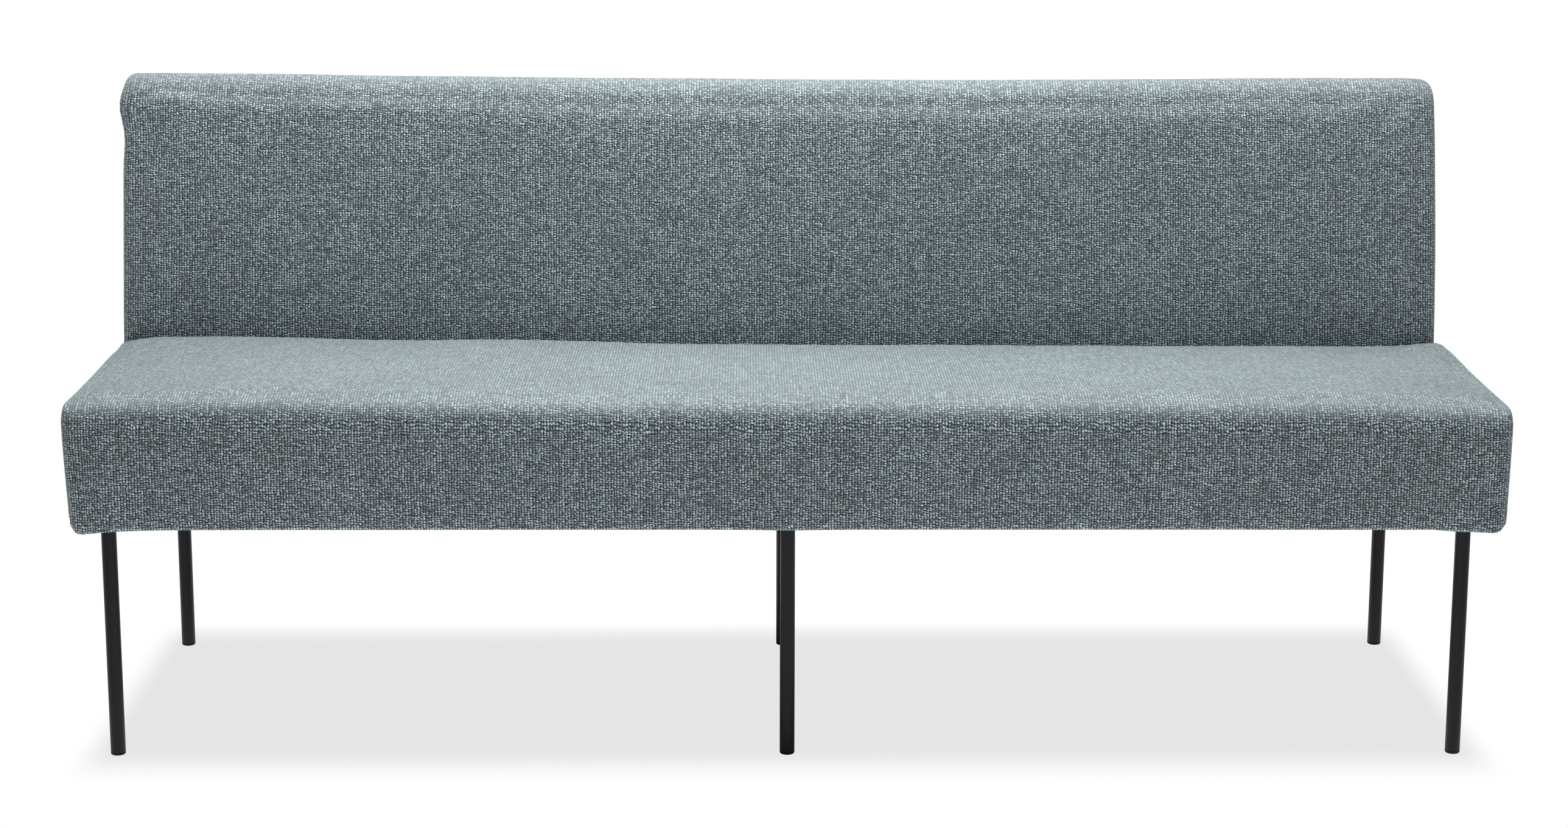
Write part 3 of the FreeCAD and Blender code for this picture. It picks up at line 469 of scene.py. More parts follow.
# What fills each finish, with its own values: for timber the order of the axes, two colours and the pitch
# of the rings, for fibres two colours, their scale and depth, for webbing the axis that it runs along
FINISHES = {
    "upholstery fabric": (fabric_nodes,),
    "leg powder coat": (paint_nodes,),
    "glide plastic": (plastic_nodes,),
    "dust cloth": (dust_cloth_nodes,),
    "zinc plate": (zinc_nodes,),
    "softwood along": (timber_nodes, (0, 1, 2), *SOFTWOOD),
    "softwood across": (timber_nodes, (1, 0, 2), *SOFTWOOD),
    "birch plywood": (timber_nodes, (2, 0, 1), (0.68, 0.52, 0.34), (0.42, 0.27, 0.15), 0.0034),
    "hardboard": (fibre_nodes, (0.30, 0.18, 0.09), (0.42, 0.27, 0.15), 420.0, 0.0001),
    "needled felt": (fibre_nodes, (0.20, 0.20, 0.21), (0.42, 0.41, 0.40), 300.0, 0.0006),
    "cut foam": (fibre_nodes, (0.80, 0.75, 0.58), (0.90, 0.87, 0.74), 900.0, 0.0005),
    "cross webbing": (webbing_nodes, 1),
    "long webbing": (webbing_nodes, 0),
}

# Finish of each CAD node apart from the legs, by the end of its name: the first that fits counts
INNER_FINISHES = (
    (("_end_rail", "_cross_rail"), "softwood across"),
    (("_rail", "_deck", "_plank", "_blocks"), "softwood along"),
    ("_rib", "birch plywood"),
    ("_panel", "hardboard"),
    (("_foam", "_pad"), "cut foam"),
    ("_felt", "needled felt"),
    ("_cross_webbing", "cross webbing"),
    ("_long_webbing", "long webbing"),
    (("_bolts", "_washers", "_tee_nuts", "_screws"), "zinc plate"),
    (("seat_cover", "back_cover"), "upholstery fabric"),
    ("dust_cover", "dust cloth"),
)


def material(finish):
    """The material of a finish, made when it is first asked for."""
    if finish in bpy.data.materials:
        return bpy.data.materials[finish]
    fill, *values = FINISHES[finish]
    made = bpy.data.materials.new(finish)
    made.use_nodes = True
    fill(made.node_tree, made.node_tree.nodes["Principled BSDF"], *values)
    return made


def dress(node, finish):
    """Give a CAD node a finish."""
    slots = NODES[node].data.materials
    slots.clear()
    slots.append(material(finish))


# Meshes


def new_piece(name, points, faces, finish, slot):
    """A smooth mesh object that rides with the bench."""
    mesh = bpy.data.meshes.new(name)
    mesh.from_pydata([tuple(point) for point in points], [], [tuple(face) for face in faces])
    mesh.update()
    mesh.shade_smooth()
    mesh.materials.append(material(finish))
    piece = bpy.data.objects.new(name, mesh)
    bpy.context.scene.collection.objects.link(piece)
    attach(piece, "root")
    return piece


def placed(part, move):
    """A copy of a part, which is (points, faces), moved by a matrix."""
    points, faces = part
    return [tuple(move @ Vector(point)) for point in points], faces


def joined(parts):
    """Several parts as one."""
    points, faces = [], []
    for own_points, own_faces in parts:
        start = len(points)
        points.extend(own_points)
        faces.extend([[start + corner for corner in face] for face in own_faces])
    return points, faces


def taken_from(shape):
    """A bmesh as a part. The bmesh is freed."""
    shape.verts.index_update()
    points = [tuple(point.co) for point in shape.verts]
    faces = [[corner.index for corner in face.verts] for face in shape.faces]
    shape.free()
    return points, faces


def stations(low, high, fine, wide, reach):
    """Places from low to high, close together near both ends and wider apart between them."""
    sample = np.linspace(low, high, 4001)
    inward = np.clip(np.minimum(sample - low, high - sample) / reach, 0, 1)
    density = 1 / (fine + (wide - fine) * inward * inward * (3 - 2 * inward))
    passed = np.concatenate([[0], np.cumsum((density[1:] + density[:-1]) / 2 * np.diff(sample))])
    return np.interp(np.linspace(0, passed[-1], math.ceil(passed[-1]) + 1), passed, sample)


def lattice_skin(filled):
    """Closed quad skin round the filled cells of a lattice.

    Returns the lattice places of its points, its quads and the axis that each quad faces along.
    """
    rings, axes = [], []
    room = np.pad(filled, 1)
    step = np.eye(3, dtype=int)
    for axis in range(3):
        first_way, second_way = step[(axis + 1) % 3], step[(axis + 2) % 3]
        for way in (1, -1):
            start = np.argwhere(room & ~np.roll(room, -way, axis)) - 1
            if way > 0:
                start[:, axis] += 1
            ring = [start, start + first_way, start + first_way + second_way, start + second_way]
            rings.append(np.stack(ring if way > 0 else ring[::-1], 1))
            axes.append(np.full(len(start), axis))
    rings = np.concatenate(rings)
    size = np.array(filled.shape) + 1
    numbers = (rings[..., 0] * size[1] + rings[..., 1]) * size[2] + rings[..., 2]
    used, quads = np.unique(numbers, return_inverse=True)
    places = np.stack(np.unravel_index(used, size), 1)
    return places, quads.reshape(-1, 4), np.concatenate(axes)


def lattice_points(places, *rows):
    """Coordinates of lattice places, from the row of stations along each axis."""
    return np.stack([row[places[:, axis]] for axis, row in enumerate(rows)], 1)


def rounded_outline(corners, radii, steps=13):
    """Closed anticlockwise outline with rounded corners, as a row of points."""
    corners = np.array(corners, float)
    points = []
    for number, (corner, radius) in enumerate(zip(corners, radii)):
        before = corners[number - 1] - corner
        after = corners[(number + 1) % len(corners)] - corner
        before /= np.linalg.norm(before)
        after /= np.linalg.norm(after)
        half = math.acos(np.clip(before @ after, -1, 1)) / 2
        toward = (before + after) / np.linalg.norm(before + after)
        centre = corner + toward * radius / math.sin(half)
        start = corner + before * radius / math.tan(half) - centre
        end = corner + after * radius / math.tan(half) - centre
        turn = math.atan2(start[0] * end[1] - start[1] * end[0], start @ end)
        for part in np.linspace(0, turn, steps):
            spin = np.array([[math.cos(part), -math.sin(part)], [math.sin(part), math.cos(part)]])
            points.append(centre + spin @ start)
    return np.array(points)


def nearest_on(outline, places, chunk_size=8000):
    """Nearest points on an outline, the ways out there, the lengths so far and the whole length."""
    run = np.roll(outline, -1, 0) - outline
    size = np.maximum((run**2).sum(1), TINY**2)
    passed = np.concatenate([[0], np.cumsum(np.sqrt(size))])
    out = np.stack([run[:, 1], -run[:, 0]], 1) / np.sqrt(size)[:, None]
    near, ways, lengths = [], [], []
    for chunk in np.array_split(places, max(1, len(places) // chunk_size)):
        offset = chunk[:, None] - outline[None]
        part = np.clip((offset * run).sum(2) / size, 0, 1)
        gap = ((offset - part[..., None] * run) ** 2).sum(2)
        best = gap.argmin(1)
        passed_part = part[np.arange(len(chunk)), best]
        near.append(outline[best] + passed_part[:, None] * run[best])
        ways.append(out[best])
        lengths.append(passed[best] + passed_part * np.sqrt(size[best]))
    return np.concatenate(near), np.concatenate(ways), np.concatenate(lengths), passed[-1]


def draw_on(points, outline, half_length, end_radius):
    """Draw a lattice's points on to an outline that runs along the bench, with its ends rounded.

    Also returns how far along the fabric each point lies and its place on the flat end piece, both
    measured round the rounded edge.
    """
    places = points[:, 1:]
    near, out, _, _ = nearest_on(outline, places)
    offset = ((places - near) * out).sum(1)
    gap = np.linalg.norm(places - near, axis=1)
    inside = offset <= -NEAR / 10
    depth = np.where(inside, -gap, gap)
    away = np.where(gap[:, None] > NEAR, (places - near) / np.maximum(gap, TINY)[:, None], out)
    outward = np.where((inside & (gap > NEAR))[:, None], -away, away)
    round_up = np.maximum(depth + end_radius, 0)
    round_along = np.maximum(np.abs(points[:, 0]) - (half_length - end_radius), 0)
    shrink = np.minimum(end_radius / np.maximum(np.hypot(round_up, round_along), TINY), 1)
    drawn = points.copy()
    target = round_up * shrink - end_radius
    moving = round_up > 0
    drawn[moving, 1:] = (near + outward * target[:, None])[moving]
    ends = round_along > 0
    along = half_length - end_radius + round_along * shrink
    drawn[ends, 0] = (np.sign(points[:, 0]) * along)[ends]
    turn = np.arctan2(round_along, np.maximum(round_up, TINY))
    along_fabric = np.where(ends, half_length - end_radius + end_radius * turn, np.abs(points[:, 0]))
    rolled_out = end_radius * (math.pi / 2 - turn) - end_radius
    flat_end = np.where(moving[:, None], near + outward * rolled_out[:, None], places)
    return drawn, np.sign(points[:, 0]) * along_fabric, flat_end


def weave_flow(points, quads, axes, outline, along_fabric, flat_end, slope):
    """Where each corner of each quad lies on the flat fabric: along the bench, and round it from below.

    The fabric runs up the front, over and down behind in one piece. The ends continue its rows.
    """
    _, _, lengths, whole = nearest_on(outline, points[:, 1:])
    up = whole - lengths[quads]
    jump = (up.max(1) - up.min(1) > whole / 2)[:, None]
    up = np.where(jump & (up > whole / 2), up - whole, up)
    level = np.zeros_like(up)
    wrap = np.stack([along_fabric[quads], up, level], 2)
    front, low = outline.min(0)
    rise = flat_end[quads][..., 1] - low
    past = np.abs(points[:, 0]).max() + flat_end[quads][..., 0] - front - slope * rise
    ends = np.stack([np.sign(points[:, 0])[quads] * past, rise, level], 2)
    return np.where((axes == 0)[:, None, None], ends, wrap)


def ramp(value, start, end):
    """0 up to the start and 1 from the end on, straight between them. The end may lie below the start."""
    return np.clip((value - start) / (end - start), 0, 1)


def bell(value, centre, width):
    """A smooth bump of height 1."""
    return np.exp(-(((value - centre) / width) ** 2))


def humps(value, table):
    """The sum of smooth bumps, each given as height, centre and width."""
    return sum(height * bell(value, centre, width) for height, centre, width in table)


def waves(points, broad, narrow):
    """Slow noise at each point: broad waves and narrow ones half as strong, each as pitch and seed."""
    total = 0.0
    for strength, (pitch, seed) in ((1.0, broad), (0.5, narrow)):
        start = Vector((seed, 0, 0))
        heights = [noise.noise(Vector(point) / pitch + start) for point in points]
        total = total + strength * np.array(heights)
    return total


CLOTH_SETTINGS = {
    "quality": 3, "mass": 0.3, "tension_stiffness": 25, "compression_stiffness": 25,
    "shear_stiffness": 12, "bending_stiffness": 2, "use_pressure": True,
}
SETTLE_FRAMES = 20


def settle(piece, held, form):
    """Let the cover swell over its foam in a short simulation, apart from the points that are held.

    A point moves out or aside by no more than the swell, and into the foam by no more than the give.
    """
    mesh = piece.data
    rest = np.array([point.co for point in mesh.vertices])
    outward = np.array([point.normal for point in mesh.vertices])
    group = piece.vertex_groups.new(name="held")
    group.add([int(number) for number in np.flatnonzero(held)], 1.0, "REPLACE")
    cloth = piece.modifiers.new("settle", "CLOTH")
    for name, value in CLOTH_SETTINGS.items():
        setattr(cloth.settings, name, value)
    cloth.settings.uniform_pressure_force = form.pressure
    cloth.settings.vertex_group_mass = group.name
    cloth.settings.effector_weights.gravity = 0
    cloth.collision_settings.use_collision = False
    cloth.collision_settings.use_self_collision = False
    cloth.point_cache.frame_start = 1
    cloth.point_cache.frame_end = SETTLE_FRAMES
    scene = bpy.context.scene
    for number in range(1, SETTLE_FRAMES + 1):
        scene.frame_set(number)
    graph = bpy.context.evaluated_depsgraph_get()
    swollen = np.array([point.co for point in piece.evaluated_get(graph).data.vertices])
    piece.modifiers.remove(cloth)
    piece.vertex_groups.remove(group)
    scene.frame_set(1)
    move = swollen - rest
    out = (move * outward).sum(1)
    aside = move - out[:, None] * outward
    far = np.maximum(np.linalg.norm(aside, axis=1), TINY)
    cap, give = form.swell, form.give
    aside *= (cap / 2 * np.tanh(2 * far / cap) / far)[:, None]
    out = np.where(out > 0, cap * np.tanh(out / cap), give * np.tanh(out / give))
    settled = rest + aside + out[:, None] * outward
    mesh.vertices.foreach_set("co", settled.astype(np.float32).ravel())
    mesh.update()


def cover(name, points, quads, flow):
    """A piece of upholstery fabric, which carries the flow of its weave."""
    piece = new_piece(name, points, quads, "upholstery fabric", "upholstery_fabric")
    layer = piece.data.attributes.new("weave", "FLOAT_VECTOR", "CORNER")
    layer.data.foreach_set("vector", flow.astype(np.float32).ravel())
    return piece


def back_lean(form):
    """How far the back's face leans back for each metre of height, tangent to the roll of its top."""
    radius = form.back_roll_radius
    ahead = BACK_HIGH.y - radius - BACK_LOW.y
    above = BACK_HIGH.z - radius - BACK_LOW.z - form.hem_radius
    return math.tan(math.atan2(ahead, above) - math.asin(radius / math.hypot(ahead, above)))


# Seat

# Humps are height, centre and width. Drops, spreads and pulls in pairs are for the left and right end.
# A span is where a move begins and where it is full, a band how wide it is, a fall the power it fades by.
NOTCH_RADIUS = 0.001
SHOULDER_BAND = 0.03
CORNER_SPAN = (0.03, 0.08)
RAIL_SPAN = (0.05, 0.02)
CROWN_FALL = 12
FRONT_BAND = 0.05
FRONT_RISE = 0.009
FRONT_HUMPS = ((0.005, -0.75, 0.25),)
FRONT_END_DROPS = (0.004, 0.007)
FRONT_END_FALL = 6
BROW_BAND = 0.075
BROW_DRAW = 0.005
REAR_HUMPS = ((0.0088, -0.82, 0.33), (0.0055, -0.93, 0.28), (0.0055, -0.37, 0.16))
REAR_STEP = 0.002
REAR_STEP_SPAN = (-0.75, -0.55)
REAR_RIGHT_DROP = 0.0038
REAR_SPAN = (-0.6, 1.0)
# Rise of a rear corner, its side, and its inset and width along X and along Y
REAR_CORNERS = ((0.0078, 1, 0.01, 0.045, 0.02, 0.15), (-0.005, -1, 0.012, 0.022, 0.03, 0.06))
END_BAND = 0.08
END_SPREADS = (0.0015, 0.004)
REAR_SPREADS = (0.0105, 0.0085)
SPREAD_BAND = 0.05
PULL_BAND = 0.05
PULL_START = 0.02
PULL_FALL = 1.4
END_PULLS = (0.006, 0.003)
HEM_BAND = 0.03
CORNER_HUMPS = ((0.0022, 0.012, 0.03),)
HEM_DROP = 0.0012
HEM_HUMPS = ((0.0009, 0.0, 0.06),)
HEM_SPAN = (0.024, 0.004)
FOLD_DROPS = (0.0046, 0.0028)
LEFT_FOLD_WIDTH = 0.08
RIGHT_FOLD_SPAN = (0.852, 0.874)
TUCK_DEPTH = 0.0022
TUCK_PLACE = 0.868
TUCK_SLANT = 0.1
TUCK_WIDTH = 0.006
TUCK_HEIGHT = 0.07
SEAT_WAVES = ((0.16, 3.0), (0.06, 9.0))
HELD_BAND = 0.004
CREASE_BAND = 0.012


class SeatSizes:
    """Half the seat's length, the edges of its section and the lean of the back's face behind it."""

    def __init__(self, form):
        self.lean = back_lean(form)
        self.half = SEAT_HIGH.x
        self.front, self.rear = SEAT_LOW.y, SEAT_HIGH.y
        self.bottom, self.edge = SEAT_LOW.z, SEAT_HIGH.z - form.seat_crown
        self.deck = BACK_LOW.z
        self.crease = BACK_LOW.y - self.lean * form.hem_radius - form.seam_room
        self.rear_top = self.crease + self.lean * (self.edge - self.deck)


def seat_skin(form, seat):
    """Skin of the seat and base, drawn on to its outline: points, quads and the flow of the weave."""
    pitches = form.fine_pitch, form.wide_pitch
    xs = stations(-seat.half, seat.half, *pitches, reach=0.06)
    ys = np.concatenate([stations(seat.front, seat.crease, *pitches, reach=0.06)[:-1],
                         stations(seat.crease, seat.rear, *pitches, reach=0.05)])
    zs = np.concatenate([stations(seat.bottom, seat.deck, *pitches, reach=0.04)[:-1],
                         stations(seat.deck, seat.edge, *pitches, reach=0.05)])
    filled = np.ones((len(xs) - 1, len(ys) - 1, len(zs) - 1), bool)
    filled[:, np.searchsorted(ys, seat.crease - NEAR):, np.searchsorted(zs, seat.deck - NEAR):] = False
    places, quads, axes = lattice_skin(filled)
    points = lattice_points(places, xs, ys, zs)
    toward_back = ramp(points[:, 1], seat.front, seat.crease)
    points[:, 1] += seat.lean * np.maximum(points[:, 2] - seat.deck, 0) * toward_back
    outline = rounded_outline(
        [(seat.front, seat.bottom), (seat.rear, seat.bottom), (seat.rear, seat.deck),
         (seat.crease, seat.deck), (seat.rear_top, seat.edge), (seat.front, seat.edge)],
        [form.hem_radius, form.hem_radius, form.deck_edge_radius, NOTCH_RADIUS, form.crease_radius,
         form.seat_edge_radius],
    )
    _, y, z = points.T
    shoulder = ramp(z, seat.edge - SHOULDER_BAND, seat.edge)
    # The lower edges of the ends are tight over the rails, except at the folded corners
    from_corner = np.minimum(y - seat.front, seat.rear - y)
    tight = ramp(from_corner, *CORNER_SPAN) * ramp(z - seat.bottom, *RAIL_SPAN)
    tighter = form.seat_shoulder_radius - form.seat_end_radius
    end_radius = form.seat_end_radius + tighter * np.maximum(shoulder, tight)
    points, along_fabric, flat_end = draw_on(points, outline, seat.half, end_radius)
    return points, quads, weave_flow(points, quads, axes, outline, along_fabric, flat_end, 0.0)


def seat_moved(form, seat, points):
    """The seat's points with its crown, its drawn-in front and ends, and the accidents of its cover."""
    x, y, z = points.T
    left = x < 0
    along = x / seat.half
    from_middle = np.abs(x)
    middle = (y - seat.front) / (seat.rear_top - seat.front) * 2 - 1
    upper = ramp(z, seat.deck, seat.edge) ** 2
    at_front = ramp(y, seat.front + FRONT_BAND, seat.front)
    at_bottom = ramp(z, seat.bottom + HEM_BAND, seat.bottom)
    # Crown over the foam, and the front drawn in between its corners
    up = form.seat_crown * upper * np.clip(1 - middle**2, 0, 1) * (1 - along**CROWN_FALL)
    end_drop = np.where(left, *FRONT_END_DROPS) * along**FRONT_END_FALL
    front_rise = FRONT_RISE + humps(x, FRONT_HUMPS) - end_drop
    up += front_rise * ramp(z, seat.bottom, seat.edge) * ramp(middle, 1, -1)
    back = BROW_DRAW * at_front * ramp(z, seat.edge - BROW_BAND, seat.edge) ** 2
    back += form.seat_draw * at_front * (1 - along**2)
    # The foam stands a little higher along the left of the rear edge than along the right
    rear_rise = humps(x, REAR_HUMPS) + REAR_STEP * ramp(x, *REAR_STEP_SPAN)
    rear_rise -= REAR_RIGHT_DROP * np.clip(along, 0, 1)
    up += rear_rise * ramp(middle, *REAR_SPAN) ** 2 * upper
    for rise, side, inset_x, width_x, inset_y, width_y in REAR_CORNERS:
        in_x = bell(x, side * (seat.half - inset_x), width_x)
        in_y = bell(y, seat.rear_top - inset_y, width_y)
        up += rise * upper * in_x * in_y
    # The foam spreads at the ends, most of all near the back
    to_rear = ramp(y, seat.front, seat.crease) * ramp(z, seat.deck, seat.deck + SPREAD_BAND)
    spread = np.where(left, *END_SPREADS) + np.where(left, *REAR_SPREADS) * to_rear
    outward = spread * ramp(from_middle, seat.half - END_BAND, seat.half)
    # The ends are pulled in toward the hem, and the folded corners hang lower than the rails
    end_pull = np.where(left, *END_PULLS) * ramp(from_middle, seat.half - PULL_BAND, seat.half)
    outward -= end_pull * ramp(z, seat.edge - PULL_START, seat.bottom) ** PULL_FALL
    corner_gap = np.hypot(seat.half - from_middle, np.minimum(y - seat.front, seat.rear - y))
    up -= at_bottom * humps(corner_gap, CORNER_HUMPS)
    at_hem = at_bottom * ramp(y - seat.front, *HEM_SPAN)
    at_fold = np.where(left, bell(x, -seat.half, LEFT_FOLD_WIDTH), ramp(x, *RIGHT_FOLD_SPAN))
    up -= at_hem * (HEM_DROP + humps(x, HEM_HUMPS) + np.where(left, *FOLD_DROPS) * at_fold)
    # A tuck in the front cover, near its lower right corner
    height = z - seat.bottom
    tuck = bell(x, TUCK_PLACE + TUCK_SLANT * height, TUCK_WIDTH) * ramp(height, TUCK_HEIGHT, 0)
    back += TUCK_DEPTH * tuck * at_front
    uneven = form.unevenness * waves(points, *SEAT_WAVES)
    back += uneven * at_front
    up += uneven * upper
    return points + np.stack([np.sign(x) * outward, back, up], 1)


class BENCH_OT_seat_upholstery(bpy.types.Operator):
    """Seat and base as one upholstered form, crowned, drawn in at the front and turned under"""
    bl_idname = "bench.seat_upholstery"
    bl_label = "Seat upholstery"

    def execute(self, context):
        form = context.scene.bench_form
        seat = SeatSizes(form)
        points, quads, flow = seat_skin(form, seat)
        piece = cover("seat_upholstery", seat_moved(form, seat, points), quads, flow)
        _, y, z = points.T
        under = z < seat.bottom + HELD_BAND
        behind = (y > seat.crease - HELD_BAND) & (z < seat.edge - CREASE_BAND)
        settle(piece, under | behind, form)
        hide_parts("seat_cover", "seat_foam", "base_front_pad", "base_rear_pad",
                    "base_left_pad", "base_right_pad")
        return {"FINISHED"}


# Back

# Humps are height, centre and width, along X or up from the top
TOP_RISE = 0.0006
TOP_HUMPS = ((0.0045, -0.9, 0.35), (-0.0040, 0.2, 0.40), (-0.0026, 0.95, 0.022))
TOP_BAND = 0.12
FACE_BAND = 0.05
FACE_CURVE = 0.013
CURVE_BAND = 0.125
FACE_TUCK = 0.006
FACE_TUCK_SPAN = (0.125, 0.055)
SIDE_BAND = 0.03
LEFT_HUMPS = ((0.0062, -0.043, 0.024), (-0.0022, -0.088, 0.026))
RIGHT_HUMPS = ((0.0015, -0.22, 0.12),)
BACK_STRETCH = 0.0055
BACK_SHIFT = 0.0052
BACK_WAVES = ((0.18, 5.0), (0.07, 2.0))
HELD_FOOT = 0.03
HELD_REAR = 0.003


class BENCH_OT_back_upholstery(bpy.types.Operator):
    """Back as one upholstered form, its leaning face rolled over the top"""
    bl_idname = "bench.back_upholstery"
    bl_label = "Back upholstery"

    def execute(self, context):
        form = context.scene.bench_form
        lean = back_lean(form)
        half, rear = BACK_HIGH.x, BACK_HIGH.y
        bottom, top = BACK_LOW.z, BACK_HIGH.z
        front = BACK_LOW.y - lean * form.hem_radius
        pitches = form.fine_pitch, form.wide_pitch
        xs = stations(-half, half, *pitches, reach=0.06)
        shares = stations(0.0, 1.0, fine=0.03, wide=0.06, reach=0.3)
        zs = stations(bottom, top, *pitches, reach=0.07)
        places, quads, axes = lattice_skin(np.ones((len(xs) - 1, len(shares) - 1, len(zs) - 1), bool))
        points = lattice_points(places, xs, shares, zs)
        face = front + lean * (points[:, 2] - bottom)
        points[:, 1] = face + (rear - face) * points[:, 1]
        outline = rounded_outline(
            [(front, bottom), (rear, bottom), (rear, top), (front + lean * (top - bottom), top)],
            [form.hem_radius, form.hem_radius, form.back_roll_radius, form.back_roll_radius],
        )
        end_radius = np.full(len(points), form.back_end_radius)
        points, along_fabric, flat_end = draw_on(points, outline, half, end_radius)
        flow = weave_flow(points, quads, axes, outline, along_fabric, flat_end, lean)

        x, y, z = points.T
        face = front + lean * (z - bottom)
        at_face = ramp(y, face + FACE_BAND, face)
        at_top = ramp(z, top - TOP_BAND, top)
        # The cover sits a little to the left, where its roll stands higher and bulges past the end
        up = (humps(x, TOP_HUMPS) + TOP_RISE) * at_top
        aside = BACK_STRETCH * x / half - BACK_SHIFT
        aside -= ramp(-x, half - SIDE_BAND, half) * humps(z - top, LEFT_HUMPS)
        aside += ramp(x, half - SIDE_BAND, half) * humps(z - top, RIGHT_HUMPS)
        # The face curves back toward the roll well below it, and is tucked in behind the seat
        back = FACE_CURVE * ramp(z, top - CURVE_BAND, top) ** 2 * at_face
        back += FACE_TUCK * ramp(z - bottom, *FACE_TUCK_SPAN) ** 2 * at_face
        uneven = form.unevenness * waves(points, *BACK_WAVES)
        back -= uneven * at_face
        up += uneven * at_top

        piece = cover("back_upholstery", points + np.stack([aside, back, up], 1), quads, flow)
        settle(piece, (z < bottom + HELD_FOOT) | (y > rear - HELD_REAR), form)
        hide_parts("back_cover", "back_foam", "back_rear_pad", "back_left_pad", "back_right_pad")
        return {"FINISHED"}


# Dust cloth

CLOTH_PITCH = {"fine": 0.003, "wide": 0.016, "reach": 0.04}
HEM_WIDTH = 0.0105
HEM_THICKNESS = 0.0006
SAG_SPAN = (0.012, 0.112)
SLACK = 0.0005
SLACK_SPAN = (0.011, 0.021)
SLACK_REACH = 0.05
STAPLE_SIZE = (0.0105, 0.0012, 0.0007)
STAPLE_DROP = 0.0009
STAPLE_SKEW = 0.16


def staple_part():
    """A staple's crown, a short flattened wire with rounded edges."""
    shape = bmesh.new()
    bmesh.ops.create_cube(shape, size=1.0)
    bmesh.ops.scale(shape, vec=STAPLE_SIZE, verts=shape.verts)
    bmesh.ops.bevel(shape, geom=shape.edges[:], offset=0.00025, segments=2, affect="EDGES", profile=0.5)
    return taken_from(shape)


def staple_spots(reach_x, reach_y, pitch):
    """Where the staples stand along all four edges, and how each is turned."""
    spots = []
    for axis, reach, other in ((0, reach_x, reach_y), (1, reach_y, reach_x)):
        count = round(2 * reach / pitch)
        for number in range(count):
            step = (2 * number + 1) / count - 1
            for side in (-1, 1):
                place = (step * reach, side * other)
                spots.append((*(place if axis == 0 else place[::-1]), axis * math.pi / 2))
    return spots


class BENCH_OT_dust_cloth(bpy.types.Operator):
    """Black cloth under the base, its edge turned in and stapled to the rails"""
    bl_idname = "bench.dust_cloth"
    bl_label = "Dust cloth"

    def execute(self, context):
        hardware = context.scene.bench_hardware
        half_x, half_y = DUST_HIGH.x, DUST_HIGH.y
        xs = stations(-half_x, half_x, **CLOTH_PITCH)
        ys = stations(-half_y, half_y, **CLOTH_PITCH)
        places, quads, _ = lattice_skin(np.ones((len(xs) - 1, len(ys) - 1, 1), bool))
        points = lattice_points(places, xs, ys, np.array([DUST_LOW.z, DUST_HIGH.z]))
        x, y, _ = points.T
        inset_x, inset_y = half_x - np.abs(x), half_y - np.abs(y)
        inset = np.minimum(inset_x, inset_y)
        # The turned-in edge is two layers thick, and the middle sags with slack lines from the staples
        underneath = places[:, 2] == 0
        points[:, 2] -= np.where(underneath & (inset < HEM_WIDTH), HEM_THICKNESS, 0.0)
        inner = ramp(inset, *SAG_SPAN)
        pull = np.cos(2 * np.pi * np.where(inset_x < inset_y, y, x) / hardware.staple_pitch)
        slack = SLACK * (1 - pull) * ramp(inset, *SLACK_SPAN) * np.exp(-inset / SLACK_REACH)
        points[:, 2] -= hardware.dust_sag * inner * (2 - inner) + slack
        cloth = new_piece("dust_cloth", points, quads, "dust cloth", "dust_cloth")
        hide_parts("dust_cover")

        crown = staple_part()
        parts = []
        spots = staple_spots(half_x - hardware.staple_inset, half_y - hardware.staple_inset,
                             hardware.staple_pitch)
        for number, (px, py, turn) in enumerate(spots):
            skew = STAPLE_SKEW * noise.noise((px * 40, py * 40, number * 0.37))
            spin = Matrix.Rotation(turn + skew, 4, "Z")
            parts.append(placed(crown, Matrix.Translation((px, py, DUST_LOW.z - STAPLE_DROP)) @ spin))
        staples = new_piece("dust_cloth_staples", *joined(parts), "zinc plate", "zinc_steel")
        return {"FINISHED"}


# Legs

WELD_BITE = 0.0004
WELD_HOLLOW = 0.72
WELD_STEPS = 8
SCREW_TURNS = 32
# Outline of a screw's head: share of its radius, and share of its height
HEAD_OUTLINE = ((1.0, 0.0), (1.0, 0.45), (0.93, 0.72), (0.76, 0.92), (0.55, 1.0))
# The cross recess in shares of the head: its arm and half its width, then its floor's size and depth
RECESS_ARM, RECESS_HALF = 0.46, 0.13
RECESS_FLOOR_SIZE, RECESS_FLOOR = 0.55, 0.25
# Turn from each screw to the next, in radians
SCREW_ANGLE = 37.0


def weld_part(radius, size):
    """A weld bead in the corner between a tube and its plate, its scales like a row of coins."""
    ring = [(radius - WELD_BITE, WELD_BITE), (radius + size, WELD_BITE)]
    for step in range(1, WELD_STEPS):
        angle = math.pi / 2 * step / WELD_STEPS
        out = size * (1 - WELD_HOLLOW * math.sin(angle))
        ring.append((radius + out, -size * (1 - WELD_HOLLOW * math.cos(angle))))
    ring.append((radius - WELD_BITE, -size))
    return spun(ring, turns=96, ripple=0.008, ripples=24)


def spun(ring, turns, ripple, ripples):
    """A closed ring of (radius, height) turned about Z, with a ripple in its radius."""
    points, faces = [], []
    size = len(ring)
    for step in range(turns):
        angle = 2 * math.pi * step / turns
        swell = 1 + ripple * math.sin(ripples * angle)
        points.extend([(r * swell * math.cos(angle), r * swell * math.sin(angle), z) for r, z in ring])
        after = (step + 1) % turns
        for number in range(size):
            other = (number + 1) % size
            faces.append([step * size + number, after * size + number,
                          after * size + other, step * size + other])
    return points, faces


